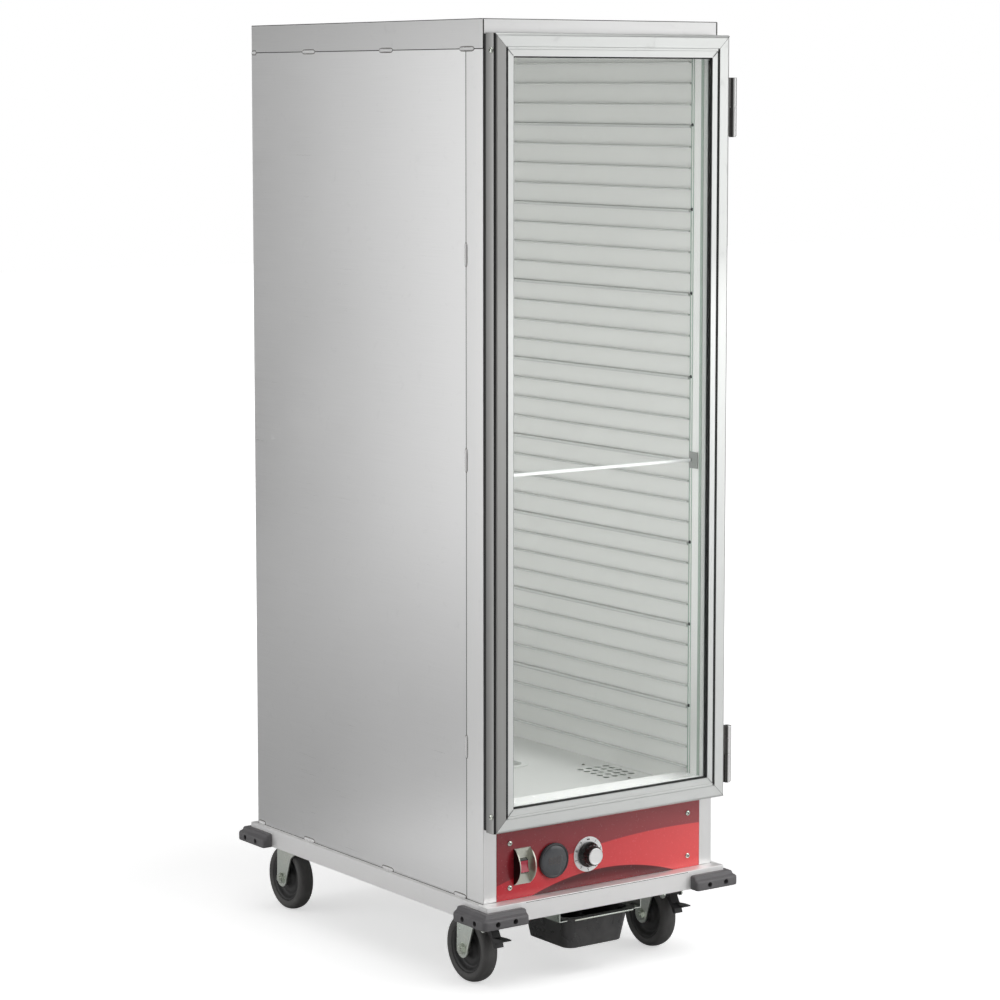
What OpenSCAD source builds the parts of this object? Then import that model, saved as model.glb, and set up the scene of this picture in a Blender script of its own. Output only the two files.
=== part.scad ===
// Heated proofing cabinet: a tall single-skin aluminium cabinet on four casters, with a
// full-height glazed door hinged on the right, pan slides down both inside walls, and a heater,
// blower and water pan in a machine compartment behind the control panel under the door.
// Millimetres. Z = 0 is the floor, X = 0 is the middle, +Y points to the back, and the origin is
// the middle of the footprint over the corner bumpers.

/* [Body] */
// Width over the side panels
body_w = 516; // [500:1:700]
// Depth from the front of the posts to the back panel
body_d = 764; // [630:1:930]
// Number of wall planks stacked up each side
plank_count = 9; // [4:1:11]
// Height of one wall plank
plank_h = 152.4; // [120:0.1:190]
// Height from the bottom of the body to the interior floor
machine_h = 142; // [140:1:200]
// Height of the folded top cap down its sides
cap_h = 51.5; // [40:0.5:62]
// Space between the top plank and the top of the cap
roof_gap = 31.9; // [25:0.1:60]
// Thickness of the outer skins
skin_t = 1.6; // [1:0.1:2.5]

/* [Front posts and sill] */
// Width of a front post seen from the front
post_w = 28.5; // [24:0.5:40]
// Depth of the closed part of a front post
post_d = 38; // [30:1:48]
// Depth of the post's side flange, where the side panel starts
post_flange_d = 51; // [49:1:70]
// Wall thickness of the posts
post_t = 2; // [1.6:0.1:3]
// Height of the sill above the interior floor
sill_rise = 26; // [10:1:40]
// Thickness of the control panel plate and of the sill
panel_t = 2; // [1.5:0.1:3]
// Gap between the control panel plate and each post
panel_gap = 0.3; // [0.2:0.1:1]
// Height of the control panel plate
panel_h = 130; // [125:1:180]

/* [Pan slides] */
// Distance from the side of the body in to the face of the wall planks
wall_inset = 24; // [20:0.5:40]
// Thickness of a wall plank
plank_t = 2; // [1.5:0.1:3]
// Gap between stacked planks
plank_gap = 0.4; // [0.2:0.1:1]
// Number of pan slides on each plank
slides_per_plank = 4; // [2:1:5]
// How far a pan slide stands out of the wall
slide_out = 9; // [6:0.5:14]
// Height of an ordinary pan slide
slide_h = 3; // [2:0.5:5]
// Height of the heavier slide at each plank joint
joint_slide_h = 5.5; // [3:0.5:8]

/* [Base and bumpers] */
// Height of the base frame tubes
base_h = 35; // [30:1:50]
// Width of the base frame tubes
base_tube_w = 25.4; // [20:0.1:40]
// Wall thickness of the base frame tubes
base_tube_t = 2.5; // [2:0.1:4]
// How far the base stands out past each side of the body
base_side = 10; // [4:1:20]
// How far the base stands out in front of the body
base_front = 25; // [10:1:40]
// How far the base stands out behind the body
base_rear = 11; // [4:1:20]
// Thickness of the corner bumpers
bumper_t = 20; // [12:1:30]
// Length of each leg of a corner bumper
bumper_leg = 98; // [70:1:130]
// Height of a corner bumper
bumper_h = 27; // [20:1:32]
// Height of a bumper's full-thickness lower band
bumper_band = 17; // [12:1:20]

/* [Door] */
// How far the door stands past the body on each side
door_over = 1; // [0:0.5:4]
// Gap between the body and the back of the door frame
door_gap = 10; // [8:0.5:14]
// Thickness of the door frame
door_t = 26.5; // [22:0.5:36]
// Width of the door frame bars
door_bar_w = 40; // [36:1:60]
// Width of the flat outer land of the door frame
door_land = 23.5; // [18:0.5:24]
// Width of the groove beside the land
door_groove_w = 5; // [3:0.5:6]
// Depth of the groove
door_groove_d = 4.5; // [2:0.5:6]
// Radius of the door frame's front outer corner
door_corner_r = 6; // [2:0.5:8]
// Height of the door above the bottom of the body
door_lift = 132; // [131:1:139]
// Gap from the top of the door to the top of the body
door_drop = 24.5; // [15:0.5:30]
// Depth from the door's front face to the pane
pane_set = 10; // [8:0.5:12]
// Thickness of the pane
pane_t = 4; // [3:0.5:6]
// Clearance round the pane in its slot
pane_clear = 0.5; // [0.2:0.1:1]
// How deep the pane enters the door frame
pane_grip = 7; // [5:0.5:9]
// Width of the magnetic seal on the back of the door
seal_w = 12; // [8:0.5:16]

/* [Hinges] */
// Diameter of the hinge barrels
hinge_barrel_d = 15; // [12:0.5:18]
// Height of each hinge
hinge_h = 105; // [80:1:140]
// Distance from the edge of the door to the hinge axis
hinge_out = 11; // [10.5:0.5:14]
// Distance from the front of the body forward to the hinge axis
hinge_fwd = 30; // [24:0.5:32]
// Diameter of the hinge pins
hinge_pin_d = 6; // [5:0.5:8]
// Thickness of the hinge leaves
hinge_leaf_t = 2.5; // [2:0.1:3]
// Distance from the top of the door to the top of the upper hinge
hinge_top_drop = 75; // [40:1:200]
// Distance from the bottom of the door to the bottom of the lower hinge
hinge_bottom_rise = 26; // [20:1:200]

/* [Controls] */
// Height of the switch, display and dial above the bottom of the body
control_z = 58; // [45:1:70]
// Distance from the panel's left edge to the power switch
switch_in = 55; // [45:1:60]
// Distance from the panel's left edge to the temperature display
display_in = 123.5; // [115:0.5:130]
// Distance from the panel's left edge to the dial
dial_in = 201.5; // [195:0.5:260]
// Width of the switch guard
guard_w = 36; // [30:1:44]
// Height of the switch guard
guard_h = 65; // [50:1:80]
// How far the wings of the switch guard stand out
guard_out = 20; // [10:1:24]
// Diameter of the display bezel
display_d = 64; // [50:1:66]
// Diameter of the dial plate
dial_d = 64; // [54:1:80]
// Diameter of the knob's skirt
knob_d = 46; // [36:1:52]
// Diameter of the knob's grip
grip_d = 36; // [30:1:40]
// How far the knob stands out of the panel
knob_out = 25; // [18:1:34]
// Diameter of the thermostat shaft
shaft_d = 6; // [5:0.5:8]
// Distance of the panel screws from the panel's sides
screw_in = 28; // [14:0.5:40]

/* [Floor and machine compartment] */
// Diameter of the air holes in the interior floor
vent_d = 12.7; // [8:0.1:15]
// Spacing of the air holes
vent_pitch = 20; // [17:0.5:26]
// Air hole columns across the width
vent_cols = 4; // [2:1:5]
// Air hole rows along the depth
vent_rows = 5; // [2:1:6]
// Distance from the wall to the middle of the air holes
vent_in = 50; // [46:1:60]
// Distance from the body's front to the middle of the air holes
vent_y = 225; // [190:1:235]
// Width of the water pan over its rim
water_w = 214; // [160:1:260]
// Length of the water pan over its rim
water_l = 265; // [180:1:270]
// Depth of the water pan
water_h = 64; // [40:1:80]
// Distance from the body's front to the front of the water pan's rim
water_y = 346; // [330:1:350]
// Width of the water pan's rim
water_rim = 10; // [6:1:14]
// Diameter of the blower housing
blower_d = 118; // [100:1:124]
// Height of the blower housing
blower_h = 56; // [40:1:60]
// Diameter of the blower wheel
fan_d = 92; // [70:1:94]
// Diameter of the heating element tube
element_d = 8; // [6:0.5:10]

/* [Drip pan] */
// Width of the drip pan over its rim
drip_w = 176; // [150:1:180]
// Length of the drip pan over its rim
drip_l = 176; // [140:1:220]
// Depth of the drip pan
drip_h = 60; // [40:1:70]
// Height of the drip pan's rim below the base frame
drip_drop = 20; // [16:1:30]
// Width of the drip pan's rim
drip_rim = 14; // [10:1:16]
// How far the drip pan's rim stands out in front of the body
drip_out = 13; // [4:1:20]
// Wall thickness of both pans
pan_t = 2; // [1.5:0.1:3]

/* [Casters] */
// Wheel diameter
wheel_d = 127; // [100:1:135]
// Wheel width
wheel_w = 32; // [26:1:36]
// Height of the mounting plates above the floor
caster_h = 157; // [150:1:165]
// Distance of the swivel axes from the sides of the body
caster_in = 54; // [50:1:80]
// Distance of the front swivel axes from the front of the body
caster_front = 77; // [60:1:110]
// Distance of the rear swivel axes from the back of the body
caster_rear = 68; // [60:1:110]
// Trail from the swivel axis back to the axle
caster_trail = 35; // [25:1:42]
// Thickness of the mounting plates
caster_plate_t = 4; // [3:0.5:6]
// Diameter of the kingpins
kingpin_d = 12; // [10:0.5:16]
// Diameter of the axle bolts
axle_d = 9.5; // [8:0.5:12]
// Gap between the fork legs and the wheel hub
fork_gap = 1; // [0.5:0.5:3]
// Thickness of the fork legs
fork_t = 3; // [2:0.5:5]
// Width of the brake pedals' treads
pedal_w = 18; // [12:1:30]

/* [Fits] */
// Radial clearance of everything that turns on a pin
turn_fit = 0.05; // [0.02:0.01:0.1]
// Clearance between faces that pass or nearly meet
face_fit = 0.3; // [0.2:0.1:0.6]

/* [Hidden] */
$fn = 64;

// Places along the depth. Everything is drawn from the front of the body, then moved to front_y.
front_reach = base_front + bumper_t;
rear_reach = base_rear + bumper_t;
front_y = front_reach - (body_d + front_reach + rear_reach) / 2;

// Heights
plate_sink = 19;
base_z = caster_h - plate_sink;
body_z = base_z + base_h;
floor_z = body_z + machine_h;
slides_z = floor_z + plank_count * plank_h;
top_z = slides_z + roof_gap;
cap_z = top_z - cap_h;
sill_z = floor_z + sill_rise;
panel_z = body_z + face_fit;
panel_top = panel_z + panel_h;
control_at_z = body_z + control_z;

// Places across the width
half_w = body_w / 2;
post_x = half_w - post_w;
wall_x = half_w - wall_inset;
panel_half = post_x - panel_gap;
door_half = half_w + door_over;
door_z = body_z + door_lift;
door_top = top_z - door_drop;
switch_x = -post_x + switch_in;
display_x = -post_x + display_in;
dial_x = -post_x + dial_in;
hinge_x = door_half + hinge_out;
blower_x = wall_x - vent_in;
liner_back = body_d - 2 * skin_t;
slide_pitch = plank_h / slides_per_plank;
tie_z = floor_z + round(plank_count / 2 - 0.6) * plank_h;

// Colours
aluminium = "#b9bab8";
pale_metal = "#e3e3e0";
zinc = "#c3c8c4";
black_rubber = "#5a585e";

module from_front() translate([0, front_y, 0]) children();

// Mirrors a right-hand piece to the left when side is -1.
module on_side(side) mirror([side < 0 ? 1 : 0, 0, 0]) children();

// A plate from one corner to the opposite corner.
module block(low, high) translate(low) cube(high - low);

// A cylinder along X, from x0 to x1, about the line y, z.
module rod_x(x0, x1, y, z, d) translate([x0, y, z]) rotate([0, 90, 0]) cylinder(h = x1 - x0, d = d);

// A cylinder along Y, from y0 to y1, about the line x, z.
module rod_y(x, y0, y1, z, d) translate([x, y0, z]) rotate([-90, 0, 0]) cylinder(h = y1 - y0, d = d);

// A rectangle with round corners, with exact arcs.
module round_rect(w, l, r) {
    square([w - 2 * r, l], center = true);
    square([w, l - 2 * r], center = true);
    for (x = [-1, 1], y = [-1, 1]) translate([x * (w / 2 - r), y * (l / 2 - r)]) circle(r);
}

// Draws a [Y, Z] outline and pulls it along X.
module pulled_x(x0, x1) translate([x0, 0, 0]) rotate([90, 0, 90]) linear_extrude(x1 - x0) children();

// Caster plates: size along X and Y, and how far their bolts stand from the middle
plate_w = 67;
plate_l = 95;
bolt_x = 24;
bolt_y = 37;

// ---------- Base ----------

beam_l = plate_l + 9;

module tube_x(x0, x1, y, z, l, h, t) difference() {
    block([x0, y, z], [x1, y + l, z + h]);
    block([x0 - 1, y + t, z + t], [x1 + 1, y + l - t, z + h - t]);
}

module tube_y(x, y0, y1, z, w, h, t) difference() {
    block([x, y0, z], [x + w, y1, z + h]);
    block([x + t, y0 - 1, z + t], [x + w - t, y1 + 1, z + h - t]);
}

module base_frame() from_front() color(pale_metal) {
    outer = half_w + base_side;
    inner = outer - base_tube_w - face_fit;
    back = body_d + base_rear;
    tube_x(-outer, outer, -base_front, base_z, base_tube_w, base_h, base_tube_t);
    tube_x(-outer, outer, back - base_tube_w, base_z, base_tube_w, base_h, base_tube_t);
    for (side = [-1, 1]) on_side(side)
        tube_y(outer - base_tube_w, base_tube_w - base_front + face_fit,
            back - base_tube_w - face_fit, base_z, base_tube_w, base_h, base_tube_t);
    for (y = [caster_front, body_d - caster_rear])
        tube_x(-inner, inner, y - beam_l / 2, caster_h, beam_l, body_z - caster_h, base_tube_t);
}

module bottom_tray() from_front() color(aluminium) difference() {
    edge = half_w - skin_t - face_fit;
    lip = 20;
    front = post_flange_d;
    back = liner_back - face_fit;
    block([-edge, front, body_z], [edge, back, body_z + lip]);
    block([skin_t - edge, front + skin_t, body_z + skin_t],
        [edge - skin_t, back - skin_t, body_z + lip + 1]);
}

// Bumper outline in plan at the rear right corner of a body whose corner is at 0, 0.
module bumper_plan(t) {
    end_r = 6;
    difference() {
        translate([t - bumper_leg, t - bumper_leg]) square(bumper_leg);
        translate([-bumper_leg * 2, -bumper_leg * 2]) square(bumper_leg * 2);
        translate([t - end_r, t - end_r]) difference() {
            square(2 * end_r);
            circle(end_r);
        }
    }
}

bumper_hole = 10;
bumper_screws_at = [30, 68];

module one_bumper() difference() {
    upper_t = 12;
    union() {
        translate([0, 0, base_z - 1]) linear_extrude(bumper_band) bumper_plan(bumper_t);
        translate([0, 0, base_z - 1]) linear_extrude(bumper_h) intersection() {
            bumper_plan(bumper_t);
            translate([upper_t - 2 * bumper_leg, upper_t - 2 * bumper_leg]) square(2 * bumper_leg);
        }
    }
    for (a = bumper_screws_at) {
        rod_x(-1, bumper_t + 1, bumper_t - a, base_z + bumper_band / 2, bumper_hole);
        rod_y(bumper_t - a, -1, bumper_t + 1, base_z + bumper_band / 2, bumper_hole);
    }
}

// Puts a child at the four corners of the base, turned outwards.
module at_base_corners() for (x = [-1, 1], y = [-1, 1])
    translate([x * (half_w + base_side), y > 0 ? body_d + base_rear : -base_front, 0])
        mirror([x < 0 ? 1 : 0, 0, 0]) mirror([0, y < 0 ? 1 : 0, 0]) children();

module corner_bumpers() from_front() color(black_rubber) at_base_corners() one_bumper();

// ---------- Body ----------

module post_outline() {
    difference() {
        translate([post_x, 0]) square([post_w, post_d]);
        translate([post_x + post_t, post_t]) square([post_w - 2 * post_t, post_d - 2 * post_t]);
    }
    translate([half_w - post_t, 0]) square([post_t, post_flange_d]);
}

module front_post(side) from_front() color(pale_metal) on_side(side)
    translate([0, 0, body_z]) linear_extrude(cap_z - body_z) post_outline();

module left_front_post() front_post(-1);
module right_front_post() front_post(1);

module side_panel(side) from_front() color(aluminium) on_side(side) {
    block([half_w - skin_t, post_flange_d, body_z], [half_w, body_d, cap_z]);
    block([wall_x + plank_t, liner_back, body_z], [half_w - skin_t / 2, body_d - skin_t, cap_z]);
}

module left_side_panel() side_panel(-1);
module right_side_panel() side_panel(1);

cord_hole_d = 24;
cord_x = -half_w + 70;
cord_z = body_z + 50;

module back_panel() from_front() color(aluminium) difference() {
    edge = half_w - skin_t;
    block([-edge, body_d - skin_t, body_z], [edge, body_d, cap_z]);
    rod_y(cord_x, body_d - 2 * skin_t, body_d + 1, cord_z, cord_hole_d);
}

module cord_bushing() from_front() color("#262626") difference() {
    union() {
        rod_y(cord_x, body_d - skin_t - 10, body_d, cord_z, cord_hole_d - face_fit);
        rod_y(cord_x, body_d, body_d + 4, cord_z, cord_hole_d + 8);
    }
    rod_y(cord_x, body_d - skin_t - 11, body_d + 5, cord_z, 10);
}

module top_cap() from_front() color(pale_metal) difference() {
    block([-half_w, 0, cap_z], [half_w, body_d, top_z]);
    block([skin_t - half_w, skin_t, cap_z - 1], [half_w - skin_t, body_d - skin_t, top_z - skin_t]);
}

// The ceiling, with the folded header over the door opening.
module ceiling_panel() from_front() color(aluminium) {
    edge = half_w - skin_t - face_fit;
    block([-edge, post_d - skin_t, slides_z], [edge, liner_back, slides_z + skin_t]);
    block([-edge, post_d - skin_t, cap_z], [edge, post_d, slides_z + skin_t / 2]);
    block([-edge, skin_t + face_fit, cap_z], [edge, post_d - skin_t / 2, cap_z + skin_t]);
}

wall_front = post_d + face_fit;

module wall_planks() from_front() color(aluminium)
    for (side = [-1, 1], k = [0 : plank_count - 1]) on_side(side)
        block([wall_x, wall_front, floor_z + k * plank_h + plank_gap / 2],
            [wall_x + plank_t, liner_back, floor_z + (k + 1) * plank_h - plank_gap / 2]);

// One slide's outline: flat top for the pan's rim, rounded nose, sloping underside.
module slide_outline(h) {
    nose = min(h, 3) / 2;
    difference() {
        translate([-slide_out, -h]) square([slide_out, h]);
        translate([-slide_out, -h]) square(nose);
        translate([-slide_out, -nose]) square(nose);
    }
    translate([nose - slide_out, -nose]) circle(nose);
}

// Each slide hangs from its shelf height. The slide at the top of a plank is the heavier one.
module pan_slides() from_front() color(pale_metal)
    for (side = [-1, 1], k = [0 : plank_count - 1], s = [1 : slides_per_plank])
        on_side(side) translate([wall_x, liner_back, floor_z + k * plank_h + s * slide_pitch - plank_gap])
            rotate([90, 0, 0]) linear_extrude(liner_back - wall_front)
                slide_outline(s == slides_per_plank ? joint_slide_h : slide_h);

floor_edge = half_w - skin_t - face_fit;
floor_back = liner_back - face_fit;
well_w = water_w - 2 * water_rim + 2;
well_l = water_l - 2 * water_rim + 2;
water_mid = water_y + water_l / 2;
corner_r = 22;

module interior_floor() from_front() color(aluminium) difference() {
    block([-floor_edge, post_flange_d, floor_z - skin_t], [floor_edge, floor_back, floor_z]);
    for (side = [-1, 1], i = [0 : vent_cols - 1], j = [0 : vent_rows - 1])
        translate([side * blower_x + (i - (vent_cols - 1) / 2) * vent_pitch,
            vent_y + (j - (vent_rows - 1) / 2) * vent_pitch, floor_z - 2 * skin_t])
            cylinder(h = 3 * skin_t, d = vent_d);
    translate([0, water_mid, floor_z - 2 * skin_t]) linear_extrude(3 * skin_t)
        round_rect(well_w, well_l, corner_r);
}

// The sill folds up from the control panel, back over its top and down to the floor.
module door_sill() from_front() color(pale_metal) pulled_x(-panel_half, panel_half) {
    back = post_flange_d - face_fit;
    low = panel_top + face_fit;
    translate([0, low]) square([panel_t, sill_z - low]);
    translate([0, sill_z - panel_t]) square([back, panel_t]);
    translate([back - panel_t, floor_z - skin_t]) square([panel_t, sill_rise + skin_t]);
}

tie_y = 30;
tie_d = 6;
tie_plate_t = 2;

module tie_rod() from_front() color(zinc) {
    rod_x(-post_x + 0.2, post_x - 0.2, tie_y, tie_z, tie_d);
    for (side = [-1, 1]) on_side(side) difference() {
        block([post_x - tie_plate_t, 12, tie_z - 15], [post_x, 36, tie_z + 15]);
        rod_x(post_x - tie_plate_t - 1, post_x + 1, tie_y, tie_z, tie_d + 0.2);
    }
}

bead_d = 4.4;

// A weld bead lying on the outside of the right side panel, drawn along +Z from 0.
module bead(l) intersection() {
    cylinder(h = l, d = bead_d, $fn = 24);
    block([0, -bead_d, 0], [bead_d, bead_d, l]);
}

module bead_along(y, z, l) translate([half_w, y, z]) rotate([-90, 0, 0]) bead(l);

bead_out = bead_d / 2;

module weld_beads() from_front() color("#f4f4f2") for (side = [-1, 1]) on_side(side) {
    for (y = [0.03, 0.36, 0.7]) bead_along(body_d * y + 4, cap_z, 42);
    bead_along(body_d - 16, cap_z, 14);
    for (y = [0.07, 0.375, 0.73]) bead_along(body_d * y, body_z + bead_out, 36);
    bead_along(body_d - 26, body_z + bead_out, 22);
    for (z = [0.17, 0.51, 0.75])
        translate([half_w, post_flange_d, body_z + z * (cap_z - body_z)]) bead(40);
}

// ---------- Control panel ----------

panel_screw_z = [22, 102];
panel_screws_x = [-1, 1];
guard_t = 2;
opening_w = 19;
opening_h = 29;
switch_case_w = 24;
switch_case_h = 34;
display_body_d = 58;
thermostat_d = 38;

module control_panel() from_front() color("#c8323c") difference() {
    block([-panel_half, 0, panel_z], [panel_half, panel_t, panel_top]);
    block([switch_x - switch_case_w / 2 - face_fit, -1, control_at_z - switch_case_h / 2 - face_fit],
        [switch_x + switch_case_w / 2 + face_fit, panel_t + 1, control_at_z + switch_case_h / 2 + face_fit]);
    rod_y(display_x, -1, panel_t + 1, control_at_z, display_body_d + 2 * face_fit);
    rod_y(dial_x, -1, panel_t + 1, control_at_z, shaft_d + 4);
    for (x = panel_screws_x, z = panel_screw_z)
        rod_y(x * (post_x - screw_in), -1, panel_t + 1, body_z + z, 4.6);
}

// A pan-head screw with its head towards -Y, its shank going in along +Y.
module screw_y(l, head_d, shank_d, head_h) {
    translate([0, -head_h, 0]) rotate([-90, 0, 0]) cylinder(h = head_h, d = head_d);
    rotate([-90, 0, 0]) cylinder(h = l, d = shank_d);
}

// Panel screws, floor screws, bumper screws and the bolts that hold the caster plates.
module frame_fasteners() from_front() color(zinc) {
    for (x = panel_screws_x, z = panel_screw_z)
        translate([x * (post_x - screw_in), 0, body_z + z]) screw_y(12, 8.5, 4, 2.6);
    for (side = [-1, 1], y = [-1, 1])
        translate([side * blower_x, vent_y + y * (vent_pitch * vent_rows / 2 + 21), floor_z])
            cylinder(h = 2, d = 6);
    at_base_corners() for (a = bumper_screws_at) {
        rod_x(0, 13, bumper_t - a, base_z + bumper_band / 2, bumper_hole - 1);
        rod_y(bumper_t - a, 0, 13, base_z + bumper_band / 2, bumper_hole - 1);
    }
    for (c = caster_places, x = [-1, 1], y = [-1, 1])
        translate([c[0] + x * bolt_x, c[1] + y * bolt_y, caster_h - caster_plate_t - 5])
            cylinder(h = 5, d = 13, $fn = 6);
}

// Base plate with two curved wings that keep the switch from being knocked.
module switch_guard() from_front() color("#b7b3a6") difference() {
    wing_r = (pow(guard_h / 2, 2) + pow(guard_out, 2)) / (2 * guard_out);
    union() {
        block([switch_x - guard_w / 2, -guard_t, control_at_z - guard_h / 2],
            [switch_x + guard_w / 2, 0, control_at_z + guard_h / 2]);
        for (side = [-1, 1]) translate([switch_x, 0, 0]) on_side(side) intersection() {
            rod_x(guard_w / 2 - guard_t, guard_w / 2, wing_r - guard_out, control_at_z, 2 * wing_r);
            block([0, -guard_out - 1, control_at_z - guard_h],
                [guard_w, -guard_t / 2, control_at_z + guard_h]);
        }
    }
    block([switch_x - opening_w / 2, -guard_t - 1, control_at_z - opening_h / 2],
        [switch_x + opening_w / 2, 1, control_at_z + opening_h / 2]);
}

module switch_body() from_front() color("#262626") difference() {
    wall = 2;
    case_d = 30;
    half_case_w = switch_case_w / 2;
    half_case_h = switch_case_h / 2;
    block([switch_x - half_case_w, 0, control_at_z - half_case_h],
        [switch_x + half_case_w, case_d, control_at_z + half_case_h]);
    block([switch_x - half_case_w + wall, -1, control_at_z - half_case_h + wall],
        [switch_x + half_case_w - wall, case_d - wall, control_at_z + half_case_h - wall]);
}

rocker_w = 18;
rocker_r = 14;
rocker_tilt = 9;

// The rocker lies inside a circle about its pivot, so it never changes height as it tilts.
module power_rocker() from_front() color("#d02038")
    translate([switch_x, 0, control_at_z]) rotate([-rocker_tilt, 0, 0]) intersection() {
        rod_x(-rocker_w / 2, rocker_w / 2, 0, 0, 2 * rocker_r);
        pulled_x(-rocker_w / 2, rocker_w / 2)
            polygon([[5, -rocker_r], [5, rocker_r], [-9, rocker_r], [-6.5, 0], [-9, -rocker_r]]);
    }

module temperature_display() from_front() color("#3a3e42") difference() {
    rim_h = 6;
    union() {
        rod_y(display_x, -rim_h, 0, control_at_z, display_d);
        rod_y(display_x, 0, 24, control_at_z, display_body_d);
    }
    rod_y(display_x, -rim_h - 1, -rim_h + 1.2, control_at_z, display_d - 6);
}

dial_t = 1.2;

module dial_plate() from_front() color("#c9c9c9") difference() {
    rod_y(dial_x, -dial_t, 0, control_at_z, dial_d);
    rod_y(dial_x, -dial_t - 1, 1, control_at_z, shaft_d + 4);
}

module thermostat_body() from_front() color(zinc) {
    rod_y(dial_x, panel_t, panel_t + 34, control_at_z, thermostat_d);
    rod_y(dial_x, -knob_out + 9, panel_t + 1, control_at_z, shaft_d);
}

knob_gap = 0.5;

module heat_knob() from_front() color("#2c2c2c") difference() {
    skirt_h = 9;
    flute_d = 4;
    union() {
        rod_y(dial_x, -dial_t - knob_gap - skirt_h, -dial_t - knob_gap, control_at_z, knob_d);
        rod_y(dial_x, -knob_out + 2, -dial_t - knob_gap - skirt_h + 1, control_at_z, grip_d);
    }
    rod_y(dial_x, -knob_out + 7, 1, control_at_z, shaft_d + 2 * turn_fit);
    for (a = [0 : 30 : 330])
        translate([dial_x, 0, control_at_z]) rotate([0, a, 0])
            rod_y(grip_d / 2 + 1, -knob_out + 1, -dial_t - knob_gap - skirt_h - 0.5, 0, flute_d);
}

module knob_cap() from_front() color("#e8e8e8")
    rod_y(dial_x, -knob_out, -knob_out + 2, control_at_z, grip_d - 5);

// ---------- Machine compartment ----------

blower_top = floor_z - skin_t - face_fit;
blower_wall = 2;
fan_h = 40;
fan_z = blower_top - blower_h + 8;
motor_d = 60;

module blower_housing() from_front() color(zinc) difference() {
    low = blower_top - blower_h;
    union() {
        translate([blower_x, vent_y, low]) cylinder(h = blower_h, d = blower_d);
        block([blower_x - blower_d / 2 - 30, vent_y, low], [blower_x, vent_y + blower_d / 2, blower_top]);
    }
    translate([blower_x, vent_y, low + blower_wall])
        cylinder(h = blower_h - blower_wall + 1, d = blower_d - 2 * blower_wall);
    block([blower_x - blower_d / 2 - 31, vent_y + blower_wall, low + blower_wall],
        [blower_x, vent_y + blower_d / 2 - blower_wall, blower_top - blower_wall]);
    translate([blower_x, vent_y, low - 1]) cylinder(h = blower_wall + 2, d = 14);
}

motor_h = 44;

module blower_motor() from_front() color("#4c4c4c") {
    low = blower_top - blower_h;
    translate([blower_x, vent_y, low - motor_h]) cylinder(h = motor_h, d = motor_d);
    translate([blower_x, vent_y, low - 1]) cylinder(h = fan_z - low + fan_h - 6, d = shaft_d);
}

module blower_wheel() from_front() color("#8c8c8c") translate([blower_x, vent_y, fan_z]) {
    blades = 20;
    difference() {
        union() {
            cylinder(h = 2, d = fan_d);
            cylinder(h = fan_h - 12, d = 16);
        }
        translate([0, 0, -1]) cylinder(h = fan_h, d = shaft_d + 2 * turn_fit);
    }
    for (i = [0 : blades - 1]) rotate(i * 360 / blades)
        translate([fan_d / 2 - 12, -0.6, 1]) cube([10, 1.2, fan_h - 2]);
    translate([0, 0, fan_h - 2]) difference() {
        cylinder(h = 2, d = fan_d);
        translate([0, 0, -1]) cylinder(h = 4, d = fan_d - 26);
    }
}

// A hairpin heating element lying across the front of the compartment.
module heating_element() from_front() color("#6a6a6a") {
    bend_r = 32;
    left = -panel_half + 75;
    right = left + 150;
    z = floor_z - 60;
    y = vent_y - 20;
    for (side = [-1, 1]) rod_x(left, right, y + side * bend_r, z, element_d);
    translate([left, y, z]) rotate(90) rotate_extrude(angle = 180)
        translate([bend_r, 0]) circle(d = element_d);
    block([right, y - bend_r - 10, z - 10], [right + 3, y + bend_r + 10, z + 10]);
}

// The water pan lifts straight up out of its well and hangs on its rim.
module water_pan() from_front() color("#c9cbca") translate([0, water_mid, 0]) {
    body_half_w = well_w - 2;
    body_half_l = well_l - 2;
    translate([0, 0, floor_z]) linear_extrude(pan_t) difference() {
        round_rect(water_w, water_l, corner_r + water_rim);
        round_rect(body_half_w - 2 * pan_t, body_half_l - 2 * pan_t, corner_r - pan_t);
    }
    difference() {
        translate([0, 0, floor_z - water_h]) linear_extrude(water_h + pan_t / 2)
            round_rect(body_half_w, body_half_l, corner_r);
        translate([0, 0, floor_z - water_h + pan_t]) linear_extrude(water_h + pan_t)
            round_rect(body_half_w - 2 * pan_t, body_half_l - 2 * pan_t, corner_r - pan_t);
    }
}

// ---------- Drip pan ----------

drip_z = base_z - drip_drop;
drip_mid = drip_l / 2 - drip_out;
drip_base = 0.86;
hanger_t = 1.6;
hanger_gap = 3;

module drip_shell(w, l, h, r) hull() {
    linear_extrude(1, $fn = 32) scale([drip_base, drip_base]) round_rect(w, l, r, $fn = 32);
    translate([0, 0, h - 1]) linear_extrude(1) round_rect(w, l, r, $fn = 32);
}

module drip_pan() from_front() color("#2f2f31") translate([0, drip_mid, 0]) {
    w = drip_w - 2 * drip_rim;
    l = drip_l - 2 * drip_rim;
    difference() {
        union() {
            translate([0, 0, drip_z - drip_h]) drip_shell(w, l, drip_h, corner_r);
            translate([0, 0, drip_z - pan_t]) linear_extrude(pan_t)
                round_rect(drip_w, drip_l, corner_r + drip_rim, $fn = 32);
        }
        translate([0, 0, drip_z - drip_h + pan_t])
            drip_shell(w - 2 * pan_t, l - 2 * pan_t, drip_h, corner_r - pan_t);
    }
}

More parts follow.
